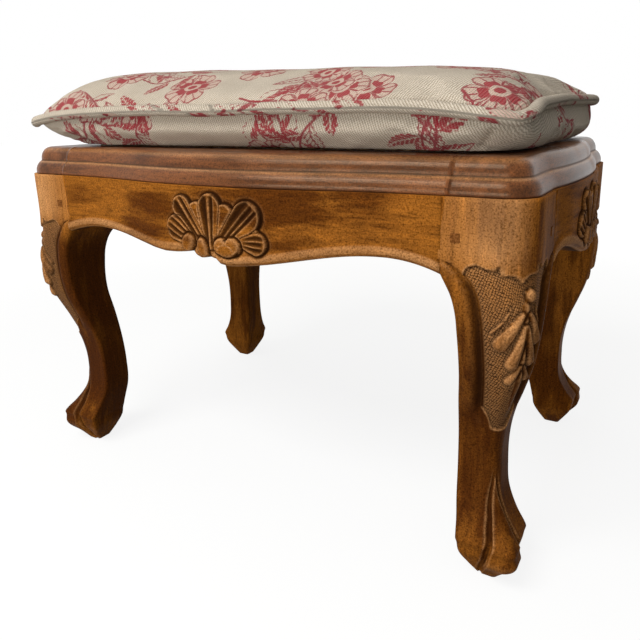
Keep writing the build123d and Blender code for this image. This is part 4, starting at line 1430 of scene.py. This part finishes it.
def piping_path():
    """The middle of the piping round the seam, its outward direction, length so far and height."""
    side = np.linspace(-1.0, 1.0, PIPING_STEPS)[:-1]
    one = np.ones_like(side)
    a = np.concatenate([side, one, -side, -one])
    b = np.concatenate([-one, side, one, -side])
    line = np.stack(plan_place(a, b, 0.0), axis=-1)
    step = np.linalg.norm(np.roll(line, -1, axis=0) - line, axis=1)
    run = unit(np.roll(line, -2, axis=0) - np.roll(line, 2, axis=0))
    outward = np.stack([run[:, 1], -run[:, 0]], axis=-1)
    for _ in range(PIPING_SMOOTH):
        outward = (np.roll(outward, 1, axis=0) + outward + np.roll(outward, -1, axis=0)) / 3
    return line, unit(outward), np.concatenate([[0.0], np.cumsum(step)[:-1]]), seam_height(a, b)


def make_piping(material):
    line, outward, length, seam = piping_path()
    turn = np.linspace(0.0, 2 * math.pi, PIPING_AROUND, endpoint=False)
    radius = PIPING_RADIUS * (1.0 + ripple(length, PIPING_THICK))[:, None]
    height = (seam + ripple(length, PIPING_SAG))[:, None] + radius * np.sin(turn)
    flat = line[:, None, :] + outward[:, None, :] * (radius * np.cos(turn))[..., None]
    points = np.concatenate([flat, height[..., None]], axis=-1).reshape(-1, 3)
    index = numbered(*height.shape)
    after, beside = (np.roll(index, -1, axis=axis) for axis in (0, 1))
    quads = np.stack([index, after, np.roll(after, -1, axis=1), beside], axis=-1).reshape(-1, 4)
    piping = new_mesh("cushion_self_piping", points, quads.tolist(), material, "cushion", "printed_linen")
    across, along = turn * PIPING_RADIUS, length[:, None]
    places = (along - PIPING_START[0] + across, across + PIPING_BIAS * along - PIPING_START[1])
    places = [(place.ravel() % (2 * half)) - half for place, half in zip(places, PIPING_CUT)]
    print_cloth(piping, *places, PIPING_SEED)
    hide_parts("cushion_piping", "cushion_piping_cord")


class Nodes:
    """Short words for building the node tree of a material or of the world."""

    def __init__(self, owner, shader="Principled BSDF"):
        self.owner = owner
        owner.use_nodes = True
        self.tree = owner.node_tree
        self.shader = self.tree.nodes[shader]

    def feed(self, node, inputs):
        """Links or sets inputs of a node."""
        for key, value in inputs.items():
            if isinstance(value, bpy.types.NodeSocket):
                self.tree.links.new(value, node.inputs[key])
            else:
                node.inputs[key].default_value = value
        return node

    def add(self, kind, inputs, **settings):
        node = self.tree.nodes.new(kind)
        for key, value in settings.items():
            setattr(node, key, value)
        return self.feed(node, inputs)

    def place(self, name="Object"):
        return self.add("ShaderNodeTexCoord", {}).outputs[name]

    def math(self, operation, first, second=0.0):
        return self.add("ShaderNodeMath", {0: first, 1: second}, operation=operation).outputs[0]

    def times(self, first, second):
        return self.math("MULTIPLY", first, second)

    def total(self, *parts):
        """Sum of values, each times its weight."""
        whole = self.times(*parts[0])
        for part in parts[1:]:
            whole = self.math("ADD", whole, self.times(*part))
        return whole

    def mix(self, share, first, second, blend="MIX"):
        inputs = {0: share, 6: first, 7: second}
        return self.add("ShaderNodeMix", inputs, data_type="RGBA", blend_type=blend).outputs[2]

    def ramp(self, value, low, high, start=0.0, end=1.0):
        names = ("Value", "From Min", "From Max", "To Min", "To Max")
        inputs = dict(zip(names, (value, low, high, start, end)))
        return self.add("ShaderNodeMapRange", inputs, interpolation_type="SMOOTHSTEP").outputs[0]

    def value(self, name):
        return self.add("ShaderNodeAttribute", {}, attribute_name=name).outputs["Fac"]

    def noise(self, place, scale, detail, roughness):
        inputs = {"Vector": place, "Scale": scale, "Detail": detail, "Roughness": roughness}
        return self.add("ShaderNodeTexNoise", inputs).outputs["Fac"]

    def finish(self, colour, roughness, height, bump, fixed):
        """Feeds the shader its colour, roughness, fine relief and fixed inputs, and returns the material."""
        inputs = {"Strength": bump[0], "Distance": bump[1], "Height": height}
        normal = self.add("ShaderNodeBump", inputs).outputs[0]
        self.feed(self.shader, {"Base Color": colour, "Roughness": roughness, "Normal": normal, **fixed})
        return self.owner


def waxed(shine):
    """Fixed shader inputs of waxed wood."""
    return {"Specular IOR Level": shine, "Specular Tint": WAX_TINT}


def walnut(name, grain, light, middle, dark, gloss, shine):
    """Waxed walnut with its grain along an axis, with painted shade in its hollows, and wear and painted
    highlights on its edges.
    """
    nodes = Nodes(bpy.data.materials.new(name))
    place = nodes.place()
    stretch = [1.0, 1.0, 1.0]
    stretch[grain] = GRAIN_STRETCH
    lengthwise = nodes.add("ShaderNodeMapping", {"Vector": place, "Scale": stretch}).outputs[0]
    wander = nodes.noise(place, *WANDER)
    bands, streaks, pores = (nodes.noise(lengthwise, *noise) for noise in (BANDS, STREAKS, PORES))
    cavity, edge_wear_and_highlight, punched = (nodes.value(name) for name in ("cavity", "edge", "punched"))
    blotch = nodes.total((bands, BLOTCH_BANDS), (wander, BLOTCH_WANDER))
    colour = nodes.mix(nodes.ramp(blotch, *BLOTCH), middle, light)
    # Darkened by stain, and on the legs by painted shade on the shank
    stain = nodes.times(nodes.value("stain"), nodes.ramp(bands, *STAIN_AND_SHADE_BANDS))
    colour = nodes.mix(stain, colour, nodes.mix(STAIN_AND_SHADE_WARMTH, dark, middle))
    # Wear, painted highlights and the block's painted sheen, in a pale colour
    colour = nodes.mix(nodes.times(edge_wear_and_highlight, nodes.ramp(wander, *WEAR_AND_HIGHLIGHT_WANDER)), colour, WORN_AND_HIGHLIGHT)
    grained = nodes.math("SUBTRACT", 1.0, nodes.times(edge_wear_and_highlight, WEAR_AND_HIGHLIGHT_HIDES))
    colour = nodes.mix(nodes.times(nodes.ramp(streaks, *STREAK_SHADE), grained), colour, dark)
    colour = nodes.mix(nodes.ramp(streaks, *STREAK_GLEAM), colour, SPECK_LIGHT, "MULTIPLY")
    pore = nodes.times(nodes.ramp(pores, *PORE_SHADE), grained)
    colour = nodes.mix(pore, colour, dark)
    speck = nodes.noise(place, *SPECKS)
    colour = nodes.mix(nodes.ramp(speck, *SPECK_SHADE), colour, SPECK_DARK, "MULTIPLY")
    colour = nodes.mix(nodes.ramp(speck, *SPECK_GLEAM), colour, SPECK_LIGHT, "MULTIPLY")
    # Painted shade in hollows, grooves and shaded lines
    colour = nodes.mix(nodes.times(cavity, SHADE_SHARE), colour, SHADE_DARK)
    hatch = nodes.times(hatched_ground(nodes, place), punched)
    colour = nodes.mix(nodes.times(punched, PUNCHED_SHARE), colour, WORN_AND_HIGHLIGHT)
    # Painted shade in the tool cuts of the punched ground
    colour = nodes.mix(nodes.times(hatch, HATCH_SHARE), colour, SHADE_DARK)
    dull = nodes.total((wander, 1.0), (cavity, ROUGH_CAVITY))
    roughness = nodes.ramp(dull, *ROUGH_WANDER, gloss, gloss + ROUGH_SPAN)
    height = nodes.total((streaks, STREAK_HEIGHT), (pore, PORE_HEIGHT), (hatch, HATCH_HEIGHT))
    return nodes.finish(colour, roughness, height, WOOD_BUMP, waxed(shine))


def hatched_ground(nodes, place):
    """Crossed tool cuts of the sunk ground."""
    apart = nodes.add("ShaderNodeSeparateXYZ", {0: place}).outputs
    jitter = nodes.times(nodes.noise(place, *HATCH_NOISE), HATCH_JITTER)
    across = nodes.math("ADD", nodes.math("ADD", apart[0], apart[1]), jitter)
    high = nodes.math("ADD", apart[2], jitter)
    cuts = []
    for first, second in HATCH_WAYS:
        slant = nodes.total((across, first), (high, second))
        cuts.append(nodes.math("ABSOLUTE", nodes.math("SINE", nodes.times(slant, math.pi / HATCH_PITCH))))
    return nodes.ramp(nodes.math("MINIMUM", *cuts), *HATCH_CUT)


def linen():
    """Twill linen with a red printed ornament."""
    nodes = Nodes(bpy.data.materials.new("printed_linen"))
    x, y = nodes.value("cloth_x"), nodes.value("cloth_y")
    flat = nodes.add("ShaderNodeCombineXYZ", {"X": x, "Y": y}).outputs[0]
    fuzz = nodes.math("SUBTRACT", nodes.noise(flat, *CLOTH_FUZZ), FUZZ_MIDDLE)
    slow = nodes.noise(flat, *CLOTH_SLOW)
    shift = nodes.times(fuzz, FUZZ_SHIFT)
    slant = nodes.total((x, 1.0), (y, TWILL_SLANT), (slow, TWILL_SWAY))
    twill = nodes.math("SINE", nodes.times(slant, 2 * math.pi / TWILL_PITCH))
    slant = nodes.total((x, CROSS_SLANT), (y, 1.0))
    cross = nodes.math("SINE", nodes.times(slant, 2 * math.pi / CROSS_PITCH))
    weave = nodes.total((twill, TWILL_SHARE), (cross, CROSS_SHARE), (fuzz, FUZZ_WEAVE))

    def printed(name, limits):
        return nodes.ramp(nodes.math("ADD", nodes.value(name), shift), *limits)

    colour = nodes.mix(nodes.ramp(weave, *WEAVE_TONE), LINEN_DARK, LINEN)
    colour = nodes.mix(nodes.ramp(slow, *SOIL_TONE), colour, LINEN_DARK)
    pale = nodes.times(printed("pale", PALE_EDGE), nodes.ramp(twill, *PALE_TWILL))
    colour = nodes.mix(pale, colour, PALE_RED)
    colour = nodes.mix(printed("line", LINE_EDGE), colour, LINE_RED)
    thread = nodes.mix(nodes.ramp(weave, *DEEP_TWILL), DEEP_RED, PALE_RED)
    colour = nodes.mix(nodes.times(printed("deep", DEEP_EDGE), DEEP_SHARE), colour, thread)
    roughness = nodes.ramp(weave, *LINEN_ROUGH)
    return nodes.finish(colour, roughness, weave, LINEN_BUMP, LINEN_FINISH)


def cane_material():
    """Old varnished cane, darker in places."""
    nodes = Nodes(bpy.data.materials.new("aged_cane"))
    patch, fibre = (nodes.noise(nodes.place(), *noise) for noise in (CANE_PATCH, CANE_FIBRE))
    colour = nodes.mix(nodes.ramp(patch, *CANE_TONE), CANE_LIGHT, CANE_DARK)
    colour = nodes.mix(nodes.ramp(fibre, *FIBRE_TONE), colour, CANE_DARK)
    return nodes.finish(colour, nodes.ramp(patch, *CANE_ROUGH), fibre, CANE_BUMP, {})


def end_grain():
    """Dark end grain of the pegs and dowels."""
    nodes = Nodes(bpy.data.materials.new("peg_end_grain"))
    fleck = nodes.noise(nodes.place(), *PEG_FLECK)
    colour = nodes.mix(nodes.ramp(fleck, *PEG_TONE), PEG_LIGHT, PEG_DARK)
    return nodes.finish(colour, nodes.ramp(fleck, *PEG_ROUGH), fleck, PEG_BUMP, waxed(CARVED_SHINE))


def dress_nodes(frame, material):
    """Puts a material on the CAD nodes that stay."""
    for name in ("tenon_pegs", "seat_frame_dowels"):
        data = frame["nodes"][name].data
        data.materials.clear()
        data.materials.append(material)


def make_camera():
    data = bpy.data.cameras.new("camera")
    data.sensor_width = CAMERA_SENSOR
    data.lens = CAMERA_LENS
    data.shift_x, data.shift_y = CAMERA_SHIFT
    camera = add_object("camera", data)
    camera.location = [value * METRES for value in CAMERA_PLACE]
    camera.rotation_euler = (math.radians(CAMERA_LEVEL + CAMERA_PITCH), 0.0, math.radians(CAMERA_YAW))
    level = camera.rotation_euler.to_matrix()
    camera.rotation_euler = (level @ level.Rotation(math.radians(CAMERA_ROLL), 3, "Z")).to_euler()
    bpy.context.scene.camera = camera


def area_light(name, place, size, power):
    data = bpy.data.lights.new(name, "AREA")
    data.shape = "RECTANGLE"
    data.size, data.size_y = size
    data.energy = power
    light = add_object(name, data)
    light.location = place
    run = [there - here for there, here in zip(LIGHT_TARGET, place)]
    flat = math.hypot(run[0], run[1])
    light.rotation_euler = (math.atan2(flat, -run[2]), 0.0, math.atan2(-run[0], run[1]))


def seen_share(nodes):
    """One for rays from the camera, from gloss and through glass, zero for the light's own bounces."""
    path = nodes.add("ShaderNodeLightPath", {}).outputs
    other = nodes.math("MAXIMUM", path["Is Glossy Ray"], path["Is Transmission Ray"])
    return nodes.math("MAXIMUM", path["Is Camera Ray"], other)


def make_world():
    """White surround to the camera, gloss and glass, and a weaker one, brighter on one side, as light."""
    world = bpy.data.worlds.new("studio")
    bpy.context.scene.world = world
    nodes = Nodes(world, "Background")
    inputs = {0: nodes.place("Generated"), 1: BRIGHT_SIDE}
    facing = nodes.add("ShaderNodeVectorMath", inputs, operation="DOT_PRODUCT").outputs["Value"]
    light = nodes.ramp(facing, *WORLD_FADE, *WORLD_LIGHT)
    nodes.feed(nodes.shader, {"Color": WHITE, "Strength": nodes.math("MAXIMUM", light, seen_share(nodes))})


def make_floor():
    """A pale floor that fades to white away from the stool."""
    corners = [(x * FLOOR_HALF, y * FLOOR_HALF, 0) for x, y in ((-1, -1), (1, -1), (1, 1), (-1, 1))]
    mesh = bpy.data.meshes.new("floor")
    mesh.from_pydata(corners, [], [(0, 1, 2, 3)])
    floor = add_object("floor", mesh)
    nodes = Nodes(bpy.data.materials.new("pale_floor"))
    away = nodes.add("ShaderNodeVectorMath", {0: nodes.place()}, operation="LENGTH").outputs["Value"]
    glow = nodes.times(nodes.ramp(away, FLOOR_NEAR, FLOOR_FAR, FLOOR_GLOW, 1.0), seen_share(nodes))
    inputs = {"Base Color": FLOOR_COLOUR, "Roughness": FLOOR_ROUGH, "Specular IOR Level": 0.0}
    nodes.feed(nodes.shader, {**inputs, "Emission Color": WHITE, "Emission Strength": glow})
    mesh.materials.append(nodes.owner)


def make_studio():
    """Soft light from the front and above, on a pale floor."""
    make_world()
    make_floor()
    for light in LIGHTS:
        area_light(*light)


def main():
    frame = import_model()
    bpy.context.scene.view_settings.view_transform = "Standard"
    make_camera()
    make_studio()
    carved = [walnut(f"carved_walnut_{way}", axis, *CARVED) for axis, way in enumerate(GRAIN_WAYS)]
    moulded = [walnut(f"moulded_walnut_{way}", axis, *MOULDED) for axis, way in enumerate(GRAIN_WAYS[:2])]
    make_legs(carved[2])
    make_aprons(carved)
    make_rails(moulded)
    cane = cane_material()
    make_cane(cane)
    make_binder(cane)
    cloth = linen()
    make_cushion(cloth)
    make_piping(cloth)
    dress_nodes(frame, end_grain())


random.seed(7)
main()
